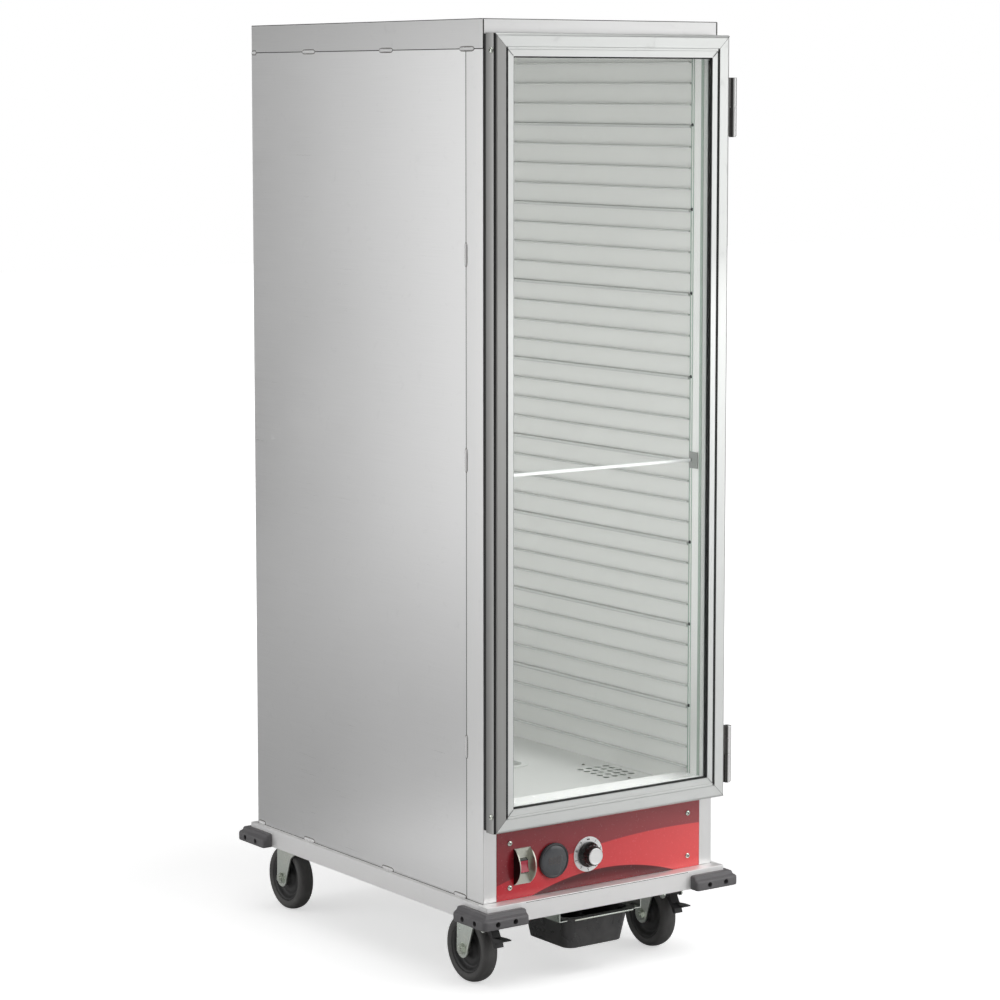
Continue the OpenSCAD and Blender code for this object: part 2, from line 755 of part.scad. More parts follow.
// Two angle runners under the base carry the pan's rim.
module drip_pan_hanger() from_front() color(zinc) for (side = [-1, 1]) on_side(side) {
    outer = drip_w / 2 + hanger_gap + hanger_t;
    shelf_z = drip_z - pan_t - 0.1;
    far = drip_l - drip_out + 4;
    block([outer - hanger_t, -2, shelf_z - hanger_t], [outer, far, base_z]);
    block([outer - hanger_t, caster_front - beam_l / 2, base_z - hanger_t],
        [outer, caster_front + beam_l / 2, caster_h]);
    block([drip_w / 2 - drip_rim + 1, -2, shelf_z - hanger_t], [outer - hanger_t / 2, far, shelf_z]);
    block([outer - hanger_t / 2, -2, base_z - hanger_t], [outer + 12, base_tube_w - base_front, base_z]);
}

// ---------- Casters ----------

leg_x = wheel_w / 2 + 2 + fork_gap;
crown_z = base_z - 1.5;
caster_x = half_w - caster_in;
caster_rear_y = body_d - caster_rear;
caster_places = [[-caster_x, caster_front], [caster_x, caster_front],
    [-caster_x, caster_rear_y], [caster_x, caster_rear_y]];
pedal_pivot = [-28, crown_z - 23];
pedal_pin_d = 5;

module at_caster(i) from_front() translate([caster_places[i][0], caster_places[i][1], 0]) children();

module caster_plates() color(zinc) for (i = [0 : 3]) at_caster(i)
    translate([0, 0, caster_h - caster_plate_t]) difference() {
        linear_extrude(caster_plate_t) round_rect(plate_w, plate_l, 6);
        translate([0, 0, -1]) cylinder(h = caster_plate_t + 2, d = kingpin_d + 2 * turn_fit);
    }

// A fork leg's outline, seen from the side. The braked fork has an ear for the pedal's pin.
module leg_outline(braked) {
    boss = 17;
    axle_z = wheel_d / 2;
    translate([caster_trail, axle_z]) circle(boss);
    polygon([[caster_trail - boss, axle_z], [caster_trail + boss, axle_z],
        [caster_trail + boss - 2, crown_z], [-24, crown_z], [-24, crown_z - 10], [2, crown_z - 29]]);
    if (braked) {
        translate(pedal_pivot) circle(7);
        polygon([[pedal_pivot[0] - 7, pedal_pivot[1]], [pedal_pivot[0] + 6, pedal_pivot[1] - 4],
            [10, crown_z - 12], [0, crown_z], [-24, crown_z]]);
    }
}

module caster_fork(i, braked) at_caster(i) color(zinc) {
    head_gap = 0.3;
    difference() {
        union() {
            for (side = [-1, 1]) on_side(side)
                pulled_x(leg_x, leg_x + fork_t) leg_outline(braked);
            block([-leg_x - fork_t, -24, crown_z - fork_t], [leg_x + fork_t, caster_trail + 15, crown_z]);
            translate([0, 0, crown_z - fork_t])
                cylinder(h = caster_h - caster_plate_t - head_gap - crown_z + fork_t, d = 52);
            translate([0, 0, crown_z]) cylinder(h = caster_h - face_fit - crown_z, d = kingpin_d);
            if (braked)
                rod_x(-leg_x - fork_t - 2, leg_x + fork_t + 2, pedal_pivot[0], pedal_pivot[1], pedal_pin_d);
        }
        rod_x(-leg_x - fork_t - 1, leg_x + fork_t + 1, caster_trail, wheel_d / 2, axle_d + 2 * turn_fit);
    }
}

module fork_front_left() caster_fork(0, true);
module fork_front_right() caster_fork(1, true);
module fork_rear_left() caster_fork(2, false);
module fork_rear_right() caster_fork(3, false);

module caster_axle(i) at_caster(i) color(pale_metal) {
    out = leg_x + fork_t;
    rod_x(-out - 8, out + 8, caster_trail, wheel_d / 2, axle_d);
    for (side = [-1, 1]) on_side(side) translate([out, caster_trail, wheel_d / 2]) rotate([0, 90, 0]) {
        cylinder(h = 1.5, d = 23);
        cylinder(h = 6, d = 19, $fn = 6);
    }
}

module axle_front_left() caster_axle(0);
module axle_front_right() caster_axle(1);
module axle_rear_left() caster_axle(2);
module axle_rear_right() caster_axle(3);

// Tyre, dished web and hub turned about the axle.
module caster_wheel(i) at_caster(i) color("#4a4a4a") translate([0, caster_trail, wheel_d / 2])
    rotate([0, 90, 0]) {
        tyre_r = wheel_d / 2;
        half_tread = wheel_w / 2;
        crown = 5;
        hub_half = wheel_w / 2 + 2;
        hub_r = 15;
        rim_r = tyre_r - 17;
        rotate_extrude() polygon([
            [axle_d / 2 + turn_fit, -hub_half], [hub_r, -hub_half], [hub_r + 2, -6], [rim_r - 3, -5],
            [rim_r, -half_tread + 2], [tyre_r - 9, -half_tread], [tyre_r - crown, -half_tread + 3],
            [tyre_r - 1, -7], [tyre_r, -2.5], [tyre_r, 2.5], [tyre_r - 1, 7],
            [tyre_r - crown, half_tread - 3], [tyre_r - 9, half_tread],
            [rim_r, half_tread - 2], [rim_r - 3, 5], [hub_r + 2, 6], [hub_r, hub_half],
            [axle_d / 2 + turn_fit, hub_half]]);
    }

module wheel_front_left() caster_wheel(0);
module wheel_front_right() caster_wheel(1);
module wheel_rear_left() caster_wheel(2);
module wheel_rear_right() caster_wheel(3);

// The pedal's hub turns on the fork's cross pin. Its arm runs down to a tread that curls up in front,
// with a heel below it.
module brake_pedal(i) at_caster(i) color("#232323") difference() {
    w = leg_x - 0.8;
    hub_r = 5.5;
    union() {
        rod_x(-w, w, pedal_pivot[0], pedal_pivot[1], 2 * hub_r);
        pulled_x(-pedal_w / 2, pedal_w / 2) translate(pedal_pivot) polygon([[hub_r - 1, -1],
            [hub_r - 2, -6], [-7, -19], [-11, -23], [-15, -31], [-17, -34], [-23, -33], [-20, -24],
            [-30, -20.5], [-45, -17], [-47, -14.5], [-30, -14.5], [-14, -16], [1 - hub_r, 1]]);
    }
    rod_x(-w - 1, w + 1, pedal_pivot[0], pedal_pivot[1], pedal_pin_d + 2 * turn_fit);
}

module brake_pedal_left() brake_pedal(0);
module brake_pedal_right() brake_pedal(1);

// ---------- Door ----------

door_front = -door_gap - door_t;
slot_w = pane_t + pane_clear;
back_lip = door_bar_w - 2;

// Section of a door bar: x runs from the outer edge inwards, y from the front face back.
module bar_section() difference() {
    union() {
        translate([door_corner_r, 0]) square([door_bar_w - door_corner_r, door_t]);
        translate([0, door_corner_r]) square([door_corner_r, door_t - door_corner_r]);
        translate([door_corner_r, door_corner_r]) circle(door_corner_r);
    }
    translate([door_land, -1]) square([door_groove_w, door_groove_d + 1]);
    translate([door_land + door_groove_w, -1]) square([door_bar_w, 1.8]);
    translate([door_bar_w - pane_grip - pane_clear, pane_set - pane_clear / 2]) square([door_bar_w, slot_w]);
    translate([back_lip, pane_set + pane_t / 2]) square([door_bar_w, door_t]);
    translate([12, pane_set]) square([door_bar_w - pane_grip - pane_clear - 15, door_t - pane_set - 3]);
}

// A bar of the given length along +Z, its outer edge on X = 0, mitred at both ends.
module mitred_bar(l) intersection() {
    linear_extrude(l) bar_section();
    translate([0, door_t + 1, 0]) rotate([90, 0, 0]) linear_extrude(door_t + 2)
        polygon([[0, 0], [0, l], [door_bar_w, l - door_bar_w], [door_bar_w, door_bar_w]]);
}

door_w = 2 * door_half;
door_h = door_top - door_z;

module door_left_stile() from_front() color(pale_metal)
    translate([-door_half, door_front, door_z]) mitred_bar(door_h);

module door_right_stile() from_front() color(pale_metal)
    translate([door_half, door_front, door_z]) mirror([1, 0, 0]) mitred_bar(door_h);

module door_top_rail() from_front() color(pale_metal)
    translate([-door_half, door_front, door_top]) rotate([0, 90, 0]) mitred_bar(door_w);

module door_bottom_rail() from_front() color(pale_metal)
    translate([-door_half, door_front, door_z]) mirror([0, 0, 1]) rotate([0, 90, 0]) mitred_bar(door_w);

pane_inset = door_bar_w - pane_grip;

module door_pane() from_front() color("#cfdde0", 0.35)
    block([pane_inset - door_half, door_front + pane_set, door_z + pane_inset],
        [door_half - pane_inset, door_front + pane_set + pane_t, door_top - pane_inset]);

// A flat ring that lies inset from the door's edge, from depth y0 to y1.
module door_ring(inset, w, y0, y1) difference() {
    block([inset - door_half, y0, door_z + inset], [door_half - inset, y1, door_top - inset]);
    block([inset + w - door_half, y0 - 1, door_z + inset + w],
        [door_half - inset - w, y1 + 1, door_top - inset - w]);
}

seal_bead = 2.4;

module glazing_seal() from_front() color("#111111") {
    pane_y = door_front + pane_set;
    door_ring(door_bar_w, seal_bead, pane_y - 7, pane_y);
    door_ring(back_lip, seal_bead, pane_y + pane_t, -door_gap - 2);
}

module door_seal() from_front() color("#161616") door_ring(2, seal_w, -door_gap, -0.1);

module door_screws() from_front() color("#8e8e8a") for (z = [door_z + 30, door_top - 30])
    rod_x(-door_half - 0.8, -door_half, -door_gap - 16, z, 7);

// ---------- Hinges ----------

hinge_places = [door_z + hinge_bottom_rise, door_top - hinge_top_drop - hinge_h];
hinge_y = -hinge_fwd;
knuckle_gap = 0.4;

// Frame leaf: screwed to the side of the right post, its barrel is the lower half of the hinge.
module frame_leaf() difference() {
    leaf_in = half_w;
    arm_x = hinge_x - hinge_barrel_d / 2 + 1;
    half_h = hinge_h / 2 - knuckle_gap / 2;
    union() {
        block([leaf_in, 3, 0], [leaf_in + hinge_leaf_t, post_flange_d - 6, hinge_h]);
        block([leaf_in, 3, 0], [arm_x + hinge_leaf_t, 3 + hinge_leaf_t, half_h]);
        block([arm_x, hinge_y + 5, 0], [arm_x + hinge_leaf_t, 3 + hinge_leaf_t, half_h]);
        translate([hinge_x, hinge_y, 0]) cylinder(h = half_h, d = hinge_barrel_d);
    }
    translate([hinge_x, hinge_y, -1]) cylinder(h = hinge_h, d = hinge_pin_d + 2 * turn_fit);
}

// Door leaf: screwed to the edge of the door, its barrel is the upper half.
module door_leaf() difference() {
    half_h = hinge_h / 2 + knuckle_gap / 2;
    union() {
        block([door_half, door_front + 4, 0], [door_half + hinge_leaf_t, -door_gap - 4, hinge_h]);
        block([door_half, hinge_y - 3, half_h], [hinge_x - hinge_barrel_d / 2 + 1, hinge_y + 3, hinge_h]);
        translate([hinge_x, hinge_y, half_h]) cylinder(h = hinge_h - half_h, d = hinge_barrel_d);
    }
    translate([hinge_x, hinge_y, -1]) cylinder(h = hinge_h + 2, d = hinge_pin_d + 2 * turn_fit);
}

module hinge_frame_leaves() from_front() color("#2b2b29")
    for (z = hinge_places) translate([0, 0, z]) frame_leaf();

module hinge_door_leaves() from_front() color("#2b2b29")
    for (z = hinge_places) translate([0, 0, z]) door_leaf();

module hinge_pins() from_front() color("#2b2b29") for (z = hinge_places)
    translate([hinge_x, hinge_y, z]) {
        cylinder(h = hinge_h - 1, d = hinge_pin_d);
        translate([0, 0, -1.5]) cylinder(h = 1.5, d = hinge_barrel_d - 3);
    }

base_frame();
bottom_tray();
left_front_post();
right_front_post();
left_side_panel();
right_side_panel();
back_panel();
top_cap();
ceiling_panel();
wall_planks();
pan_slides();
interior_floor();
door_sill();
tie_rod();
weld_beads();
control_panel();
frame_fasteners();
switch_guard();
switch_body();
temperature_display();
dial_plate();
thermostat_body();
heating_element();
blower_housing();
blower_motor();
drip_pan_hanger();
corner_bumpers();
hinge_frame_leaves();
hinge_pins();
cord_bushing();
caster_plates();
door_left_stile();
door_right_stile();
door_top_rail();
door_bottom_rail();
door_pane();
glazing_seal();
door_seal();
door_screws();
hinge_door_leaves();
power_rocker();
heat_knob();
knob_cap();
water_pan();
drip_pan();
blower_wheel();
fork_front_left();
fork_front_right();
fork_rear_left();
fork_rear_right();
axle_front_left();
axle_front_right();
axle_rear_left();
axle_rear_right();
wheel_front_left();
wheel_front_right();
wheel_rear_left();
wheel_rear_right();
brake_pedal_left();
brake_pedal_right();
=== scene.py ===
import math

import bmesh
import bpy
from mathutils import Matrix, Vector


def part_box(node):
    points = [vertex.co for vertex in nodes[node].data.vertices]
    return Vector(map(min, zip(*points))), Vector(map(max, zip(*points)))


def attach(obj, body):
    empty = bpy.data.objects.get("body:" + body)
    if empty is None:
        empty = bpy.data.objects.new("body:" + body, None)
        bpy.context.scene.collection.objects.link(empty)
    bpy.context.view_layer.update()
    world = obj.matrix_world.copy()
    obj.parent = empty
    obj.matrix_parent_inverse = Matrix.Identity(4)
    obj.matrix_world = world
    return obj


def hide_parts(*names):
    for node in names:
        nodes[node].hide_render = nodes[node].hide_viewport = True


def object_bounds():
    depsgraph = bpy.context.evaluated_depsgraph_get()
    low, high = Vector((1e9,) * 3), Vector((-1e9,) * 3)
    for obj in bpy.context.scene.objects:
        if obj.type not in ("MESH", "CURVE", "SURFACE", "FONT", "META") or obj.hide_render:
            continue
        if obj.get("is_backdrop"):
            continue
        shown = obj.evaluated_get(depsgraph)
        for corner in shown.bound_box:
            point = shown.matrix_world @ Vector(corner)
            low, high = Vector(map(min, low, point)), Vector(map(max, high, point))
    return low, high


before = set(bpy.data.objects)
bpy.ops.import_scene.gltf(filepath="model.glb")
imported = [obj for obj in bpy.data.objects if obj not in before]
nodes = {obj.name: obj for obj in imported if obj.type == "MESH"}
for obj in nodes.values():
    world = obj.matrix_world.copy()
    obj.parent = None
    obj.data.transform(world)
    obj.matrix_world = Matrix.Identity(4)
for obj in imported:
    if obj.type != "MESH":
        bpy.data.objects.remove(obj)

cad_low, cad_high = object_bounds()


# ---------- Studio ----------
# A pale floor, a white room and soft boxes: a long one at the left that the side panel mirrors, one
# ahead on the right for the door, one overhead and two low over the floor. Four weak panels of light
# fill the inside.

def add(tree, kind, inputs=None, **settings):
    """A shader node. inputs gives each socket a number, a colour or another node's output."""
    made = tree.nodes.new(kind)
    for name, value in settings.items():
        setattr(made, name, value)
    for socket, value in (inputs or {}).items():
        if isinstance(value, bpy.types.NodeSocket):
            tree.links.new(value, made.inputs[socket])
        else:
            made.inputs[socket].default_value = value
    return made


def place_in(tree):
    """Where a point is in the frame, in metres."""
    return add(tree, "ShaderNodeTexCoord").outputs["Object"]


def ramp(tree, value, start, end, low=0.0, high=1.0):
    """low up to start, high from end on, and a straight slope between them."""
    inputs = {0: value, 1: start, 2: end, 3: low, 4: high}
    return add(tree, "ShaderNodeMapRange", inputs).outputs[0]


def mixed(tree, share, first, second):
    """A colour that turns from first to second as share goes from 0 to 1."""
    return add(tree, "ShaderNodeMix", {0: share, 6: first, 7: second}, data_type="RGBA").outputs[2]


def seen_straight(tree):
    """1 for what the eye sees, also through the pane, and 0 for the light that falls on things."""
    path = add(tree, "ShaderNodeLightPath").outputs
    rays = {0: path["Is Camera Ray"], 1: path["Is Transmission Ray"]}
    return add(tree, "ShaderNodeMath", rays, operation="MAXIMUM").outputs[0]


camera = bpy.data.objects.new("camera", bpy.data.cameras.new("camera"))
bpy.context.scene.collection.objects.link(camera)
looks_down, looks_right = 6.414, 35.511
camera.location = (-3.3333, -4.7349, 1.5952)
camera.rotation_euler = (math.radians(90 - looks_down), 0, math.radians(-looks_right))
camera.data.sensor_width = 36
camera.data.lens = 111.80
camera.data.shift_y = -0.06
bpy.context.scene.camera = camera
bpy.context.scene.view_settings.view_transform = "Standard"

world = bpy.data.worlds.new("white_room")
world.use_nodes = True
bpy.context.scene.world = world
room = world.node_tree
room_light, white = 0.22, 1.0
strength = ramp(room, seen_straight(room), 0.0, 1.0, room_light, white)
room.links.new(strength, room.nodes["Background"].inputs["Strength"])
room.nodes["Background"].inputs["Color"].default_value = (1, 1, 1, 1)


def soft_box(name, at, towards, width, height, radiance):
    light = bpy.data.objects.new(name, bpy.data.lights.new(name, "AREA"))
    light.data.shape = "RECTANGLE"
    light.data.size = width
    light.data.size_y = height
    light.data.energy = radiance * math.pi * width * height
    light.location = at
    light.rotation_euler = (Vector(towards) - Vector(at)).to_track_quat("-Z", "Y").to_euler()
    light.visible_camera = False
    bpy.context.scene.collection.objects.link(light)
    return light


soft_box("left_box", (-3.0, 2.05, 1.15), (0, 2.05, 1.15), 3.8, 2.3, 1.10)
soft_box("front_right_box", (4.3, -4.6, 1.2), (0, 0, 0.8), 3.6, 3.4, 1.5)
soft_box("overhead_box", (-0.4, -1.2, 4.0), (-0.2, -0.3, 0), 4.5, 4.5, 1.0)
soft_box("front_floor_box", (1.0, -1.7, 1.3), (1.0, -1.7, 0), 1.7, 1.7, 2.0)
soft_box("left_floor_box", (-1.2, 0.25, 0.15), (-1.2, 0.25, 0), 1.0, 1.1, 1.1)
fill_z, fill_h = 1.0, 1.28
doorway_y, sill_y, sill_z = cad_low.y + 0.026, cad_low.y + 0.048, 0.40
inner = [soft_box("doorway_fill", (0, doorway_y, fill_z), (0, 1, fill_z), 0.41, fill_h, 0.52)]
for side, sx in (("left", -1), ("right", 1)):
    by_wall, across = (sx * 0.218, 0.02, fill_z), (-sx, 0.02, fill_z)
    inner.append(soft_box(side + "_inner_fill", by_wall, across, 0.66, fill_h, 0.40))
inner.append(soft_box("sill_strip", (0, sill_y, sill_z), (0, sill_y, 0), 0.40, 0.02, 1.3))
for light in inner:
    light.visible_transmission = False

floor_material = bpy.data.materials.new("pale_floor")
floor_material.use_nodes = True
floor_tree = floor_material.node_tree
lit_floor = floor_tree.nodes["Principled BSDF"]
floor_place = place_in(floor_tree)
floor_cloud = add(floor_tree, "ShaderNodeTexNoise", {"Scale": 1.5, "Detail": 2.0}).outputs["Fac"]
floor_tint = mixed(floor_tree, floor_cloud, (0.93, 0.93, 0.93, 1), (0.96, 0.96, 0.96, 1))
floor_far = add(floor_tree, "ShaderNodeVectorMath", {0: floor_place},
    operation="LENGTH").outputs["Value"]
under_glow, open_glow = 0.55, 1.0
floor_glow = ramp(floor_tree, floor_far, 0.8, 3.0, under_glow, open_glow)
floor_tree.links.new(floor_tint, lit_floor.inputs["Base Color"])
floor_tree.links.new(floor_glow, lit_floor.inputs["Emission Color"])
lit_floor.inputs["Roughness"].default_value = 0.9
lit_floor.inputs["Emission Strength"].default_value = 1.0
grey_floor = add(floor_tree, "ShaderNodeBsdfDiffuse", {"Color": (0.62, 0.62, 0.62, 1)})
floor_mix = add(floor_tree, "ShaderNodeMixShader", {0: seen_straight(floor_tree),
    1: grey_floor.outputs[0], 2: lit_floor.outputs[0]})
floor_tree.links.new(floor_mix.outputs[0], floor_tree.nodes["Material Output"].inputs["Surface"])
bpy.ops.mesh.primitive_plane_add(size=40, location=(0, 0, 0))
floor = bpy.context.object
floor.name = "floor"
floor.data.materials.append(floor_material)
floor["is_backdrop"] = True


# ---------- Base frame ----------
# Square aluminium tubes welded into a ledge all round the body, with two cross channels that the
# caster plates bolt to. Mill finish, with the grain of the rolls running along each tube.

def new_group(name, inputs):
    """A shader group that gives a surface's colour, roughness and height, with its two end nodes."""
    kinds = {"float": "NodeSocketFloat", "vector": "NodeSocketVector", "colour": "NodeSocketColor"}
    group = bpy.data.node_groups.new(name, "ShaderNodeTree")
    for label, kind, value in inputs:
        socket = group.interface.new_socket(label, in_out="INPUT", socket_type=kinds[kind])
        socket.default_value = value
    for label, kind in (("Colour", "colour"), ("Roughness", "float"), ("Height", "float")):
        group.interface.new_socket(label, in_out="OUTPUT", socket_type=kinds[kind])
    entry = group.nodes.new("NodeGroupInput")
    return group, entry.outputs, group.nodes.new("NodeGroupOutput").inputs


def axes_in(tree):
    """The frame's X, Y and Z at a point, each as a value."""
    return add(tree, "ShaderNodeSeparateXYZ", {0: place_in(tree)}).outputs


def scaled(tree, value, low, high):
    """A 0 to 1 value spread from low to high."""
    return add(tree, "ShaderNodeMapRange", {0: value, 3: low, 4: high}).outputs[0]


def calc(tree, a, b, operation="ADD"):
    """One step of maths on two values."""
    return add(tree, "ShaderNodeMath", {0: a, 1: b}, operation=operation).outputs[0]


def tinted(tree, colour, shade):
    """A colour made lighter or darker by a grey value."""
    return add(tree, "ShaderNodeMix", {0: 1.0, 6: colour, 7: shade}, data_type="RGBA",
        blend_type="MULTIPLY").outputs[2]


def make_rolled_sheet():
    """Fine roll lines, soft cloudy patches and faint rub marks of mill-finish aluminium."""
    group, given, result = new_group("rolled_sheet",
        [("Colour", "colour", (0.8, 0.8, 0.8, 1)), ("Roughness", "float", 0.35),
            ("Line Scale", "vector", (900, 900, 6)), ("Clouding", "float", 0.05)])
    place = place_in(group)
    stretched = add(group, "ShaderNodeVectorMath", {0: place, 1: given["Line Scale"]},
        operation="MULTIPLY")
    lines = add(group, "ShaderNodeTexNoise", {"Vector": stretched.outputs[0], "Scale": 1.0,
        "Detail": 3.0})
    clouds = add(group, "ShaderNodeTexNoise", {"Vector": place, "Scale": 3.2, "Detail": 4.0})
    rubs = add(group, "ShaderNodeTexNoise", {"Vector": place, "Scale": 38.0, "Detail": 5.0,
        "Distortion": 1.4})
    rubbed = ramp(group, rubs.outputs["Fac"], 0.62, 0.78)
    line = scaled(group, lines.outputs["Fac"], -0.035, 0.035)
    cloud = calc(group, scaled(group, clouds.outputs["Fac"], -1.0, 1.0), given["Clouding"], "MULTIPLY")
    shade = calc(group, calc(group, line, cloud), 1.0)
    shade = calc(group, shade, calc(group, rubbed, 0.035, "MULTIPLY"), "SUBTRACT")
    group.links.new(tinted(group, given["Colour"], shade), result["Colour"])
    rough = calc(group, given["Roughness"], calc(group, line, 1.4, "MULTIPLY"))
    rough = calc(group, rough, calc(group, cloud, 0.8, "MULTIPLY"))
    group.links.new(calc(group, rough, calc(group, rubbed, 0.08, "MULTIPLY")), result["Roughness"])
    group.links.new(lines.outputs["Fac"], result["Height"])
    return group


rolled_sheet = make_rolled_sheet()


def finish(name, group, given, metallic=0.0, relief=0.0, **constants):
    """A material whose colour, roughness and relief come from one of the surface groups.
    A given value may be a function that builds nodes and returns their output."""
    material = bpy.data.materials.new(name)
    material.use_nodes = True
    tree = material.node_tree
    shader = tree.nodes["Principled BSDF"]
    surface = add(tree, "ShaderNodeGroup", node_tree=group)
    for socket, value in given.items():
        if callable(value):
            tree.links.new(value(tree), surface.inputs[socket])
        else:
            surface.inputs[socket].default_value = value
    tree.links.new(surface.outputs["Colour"], shader.inputs["Base Color"])
    tree.links.new(surface.outputs["Roughness"], shader.inputs["Roughness"])
    if relief:
        raised = add(tree, "ShaderNodeBump", {"Height": surface.outputs["Height"], "Distance": relief})
        raised.inputs["Strength"].default_value = 0.6
        tree.links.new(raised.outputs["Normal"], shader.inputs["Normal"])
    shader.inputs["Metallic"].default_value = metallic
    for socket, value in constants.items():
        shader.inputs[socket.replace("_", " ")].default_value = value
    return material


def rolled(name, colour, roughness, lines, clouding, metallic, relief=0.0):
    """Mill-finish aluminium. lines holds how fine the roll lines are along each axis."""
    given = {"Colour": colour, "Roughness": roughness, "Line Scale": lines, "Clouding": clouding}
    return finish(name, rolled_sheet, given, metallic, relief)


def dress(material, edge, *names):
    """Gives CAD nodes a material, and rounds their edges by edge metres without touching their meshes."""
    for name in names:
        piece = nodes[name]
        if not piece.material_slots:
            piece.data.materials.append(material)
        for holder in piece.material_slots:
            holder.material = material
        piece.modifiers.new("joined", "WELD").merge_threshold = 1e-6
        if edge:
            soft = piece.modifiers.new("edges", "BEVEL")
            soft.width = edge
            soft.segments = 2
            soft.limit_method = "ANGLE"
            soft.angle_limit = math.radians(32)
        piece.modifiers.new("shading", "WEIGHTED_NORMAL")


base_metal = rolled("base_tube_aluminium", (0.95, 0.945, 0.94, 1), 0.55, lines=(30, 30, 1500),
    clouding=0.03, metallic=0.65, relief=0.00002)
dress(base_metal, 0.0012, "base_frame")


# ---------- Casters ----------
# Bought swivel casters: a pressed and zinc-plated fork that turns under a bolted plate, a rubber tyre
# moulded on a dished core, and an axle bolt with a nut. The front pair has a black foot brake.

def make_zinc_plate():
    """Bright zinc: faint spangle, a slight green and yellow cast, and dull patches."""
    group, given, result = new_group("zinc_plate",
        [("Colour", "colour", (0.7, 0.75, 0.72, 1)), ("Roughness", "float", 0.3)])
    place = place_in(group)
    spangle = add(group, "ShaderNodeTexVoronoi", {"Vector": place, "Scale": 240.0})
    cast = add(group, "ShaderNodeTexNoise", {"Vector": place, "Scale": 22.0, "Detail": 3.0})
    warm = mixed(group, cast.outputs["Fac"], (0.90, 0.98, 0.94, 1), (1.0, 0.98, 0.90, 1))
    colour = tinted(group, given["Colour"], warm)
    grain = scaled(group, spangle.outputs["Distance"], 0.94, 1.04)
    group.links.new(tinted(group, colour, grain), result["Colour"])
    dull = scaled(group, cast.outputs["Fac"], -0.08, 0.12)
    group.links.new(calc(group, given["Roughness"], dull), result["Roughness"])
    group.links.new(spangle.outputs["Distance"], result["Height"])
    return group


def make_moulded_skin():
    """The fine spark texture, flow marks and handling dust of moulded rubber and plastic."""
    group, given, result = new_group("moulded_skin",
        [("Colour", "colour", (0.1, 0.1, 0.1, 1)), ("Roughness", "float", 0.6),
            ("Grain Scale", "float", 900.0), ("Dust", "float", 0.1)])
    place = place_in(group)
    spark = add(group, "ShaderNodeTexNoise", {"Vector": place, "Scale": given["Grain Scale"],
        "Detail": 2.0})
    flow = add(group, "ShaderNodeTexNoise", {"Vector": place, "Scale": 26.0, "Detail": 4.0,
        "Distortion": 0.8})
    settled = ramp(group, flow.outputs["Fac"], 0.5, 0.75)
    dusty = calc(group, settled, given["Dust"], "MULTIPLY")
    shaded = tinted(group, given["Colour"], scaled(group, spark.outputs["Fac"], 0.86, 1.12))
    dust_grey = (0.42, 0.41, 0.40, 1)
    group.links.new(mixed(group, dusty, shaded, dust_grey), result["Colour"])
    rough = calc(group, given["Roughness"], scaled(group, flow.outputs["Fac"], -0.07, 0.07))
    group.links.new(calc(group, rough, dusty), result["Roughness"])
    group.links.new(spark.outputs["Fac"], result["Height"])
    return group


zinc_plate = make_zinc_plate()
moulded_skin = make_moulded_skin()


def plated(name, colour, roughness, metallic=1.0, relief=0.0):
    """Zinc or nickel plate, and the dull steel that has lost it."""
    return finish(name, zinc_plate, {"Colour": colour, "Roughness": roughness}, metallic, relief)


def moulded(name, colour, roughness, grain=900.0, dust=0.1, **shading):
    """Rubber, plastic, paint or ink."""
    given = {"Colour": colour, "Roughness": roughness, "Grain Scale": grain, "Dust": dust}
    return finish(name, moulded_skin, given, **shading)


zinc = plated("bright_zinc", (0.88, 0.90, 0.885, 1), 0.28, metallic=1.0, relief=0.00003)
bolt_zinc = plated("bolt_zinc", (0.82, 0.84, 0.81, 1), 0.2, metallic=1.0, relief=0.00002)
black_moulding = moulded("black_moulding", (0.018, 0.018, 0.019, 1), 0.42, grain=1400.0, dust=0.03,
    relief=0.00003)
tyre_rubber = moulded("tyre_rubber", (0.090, 0.088, 0.086, 1), 0.55, grain=700.0, dust=0.10,
    relief=0.00006)
core_plastic = moulded("wheel_core", (0.040, 0.040, 0.040, 1), 0.48, grain=900.0, dust=0.07,
    relief=0.00004)


def closed(name, shape, smooth=True):
    """Turns a bmesh into a mesh with its faces turned outwards."""
    bmesh.ops.remove_doubles(shape, verts=shape.verts, dist=1e-7)
    bmesh.ops.recalc_face_normals(shape, faces=shape.faces)
    for face in shape.faces:
        face.smooth = smooth
    mesh = bpy.data.meshes.new(name)
    shape.to_mesh(mesh)
    shape.free()
    return mesh


def new_piece(name, shape, material, body, replaced=(), smooth=True):
    """A finished shape as a piece that rides on a body and may stand for CAD nodes."""
    piece = bpy.data.objects.new(name, closed(name, shape, smooth))
    bpy.context.scene.collection.objects.link(piece)
    piece.data.materials.append(material)
    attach(piece, body)
    if replaced:
        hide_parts(*replaced)
    return piece


def skin(shape, rings, closed_rings=True):
    """Adds the faces between each ring of points and the next."""
    count = len(rings[0])
    for ring, following in zip(rings, rings[1:]):
        for i in range(count if closed_rings else count - 1):
            j = (i + 1) % count
            shape.faces.new((ring[i], ring[j], following[j], following[i]))


def turn(shape, outline, at, along, steps=96):
    """Adds an outline of (distance along the axis, radius) points, turned about the axis at a place."""
    axis = Vector(along).normalized()
    aside = axis.orthogonal().normalized()
    up = axis.cross(aside)
    rings = []
    for step in range(steps):
        angle = 2 * math.pi * step / steps
        out = aside * math.cos(angle) + up * math.sin(angle)
        rings.append([shape.verts.new(Vector(at) + axis * x + out * max(r, 1e-6)) for x, r in outline])
    skin(shape, rings + rings[:1], closed_rings=False)


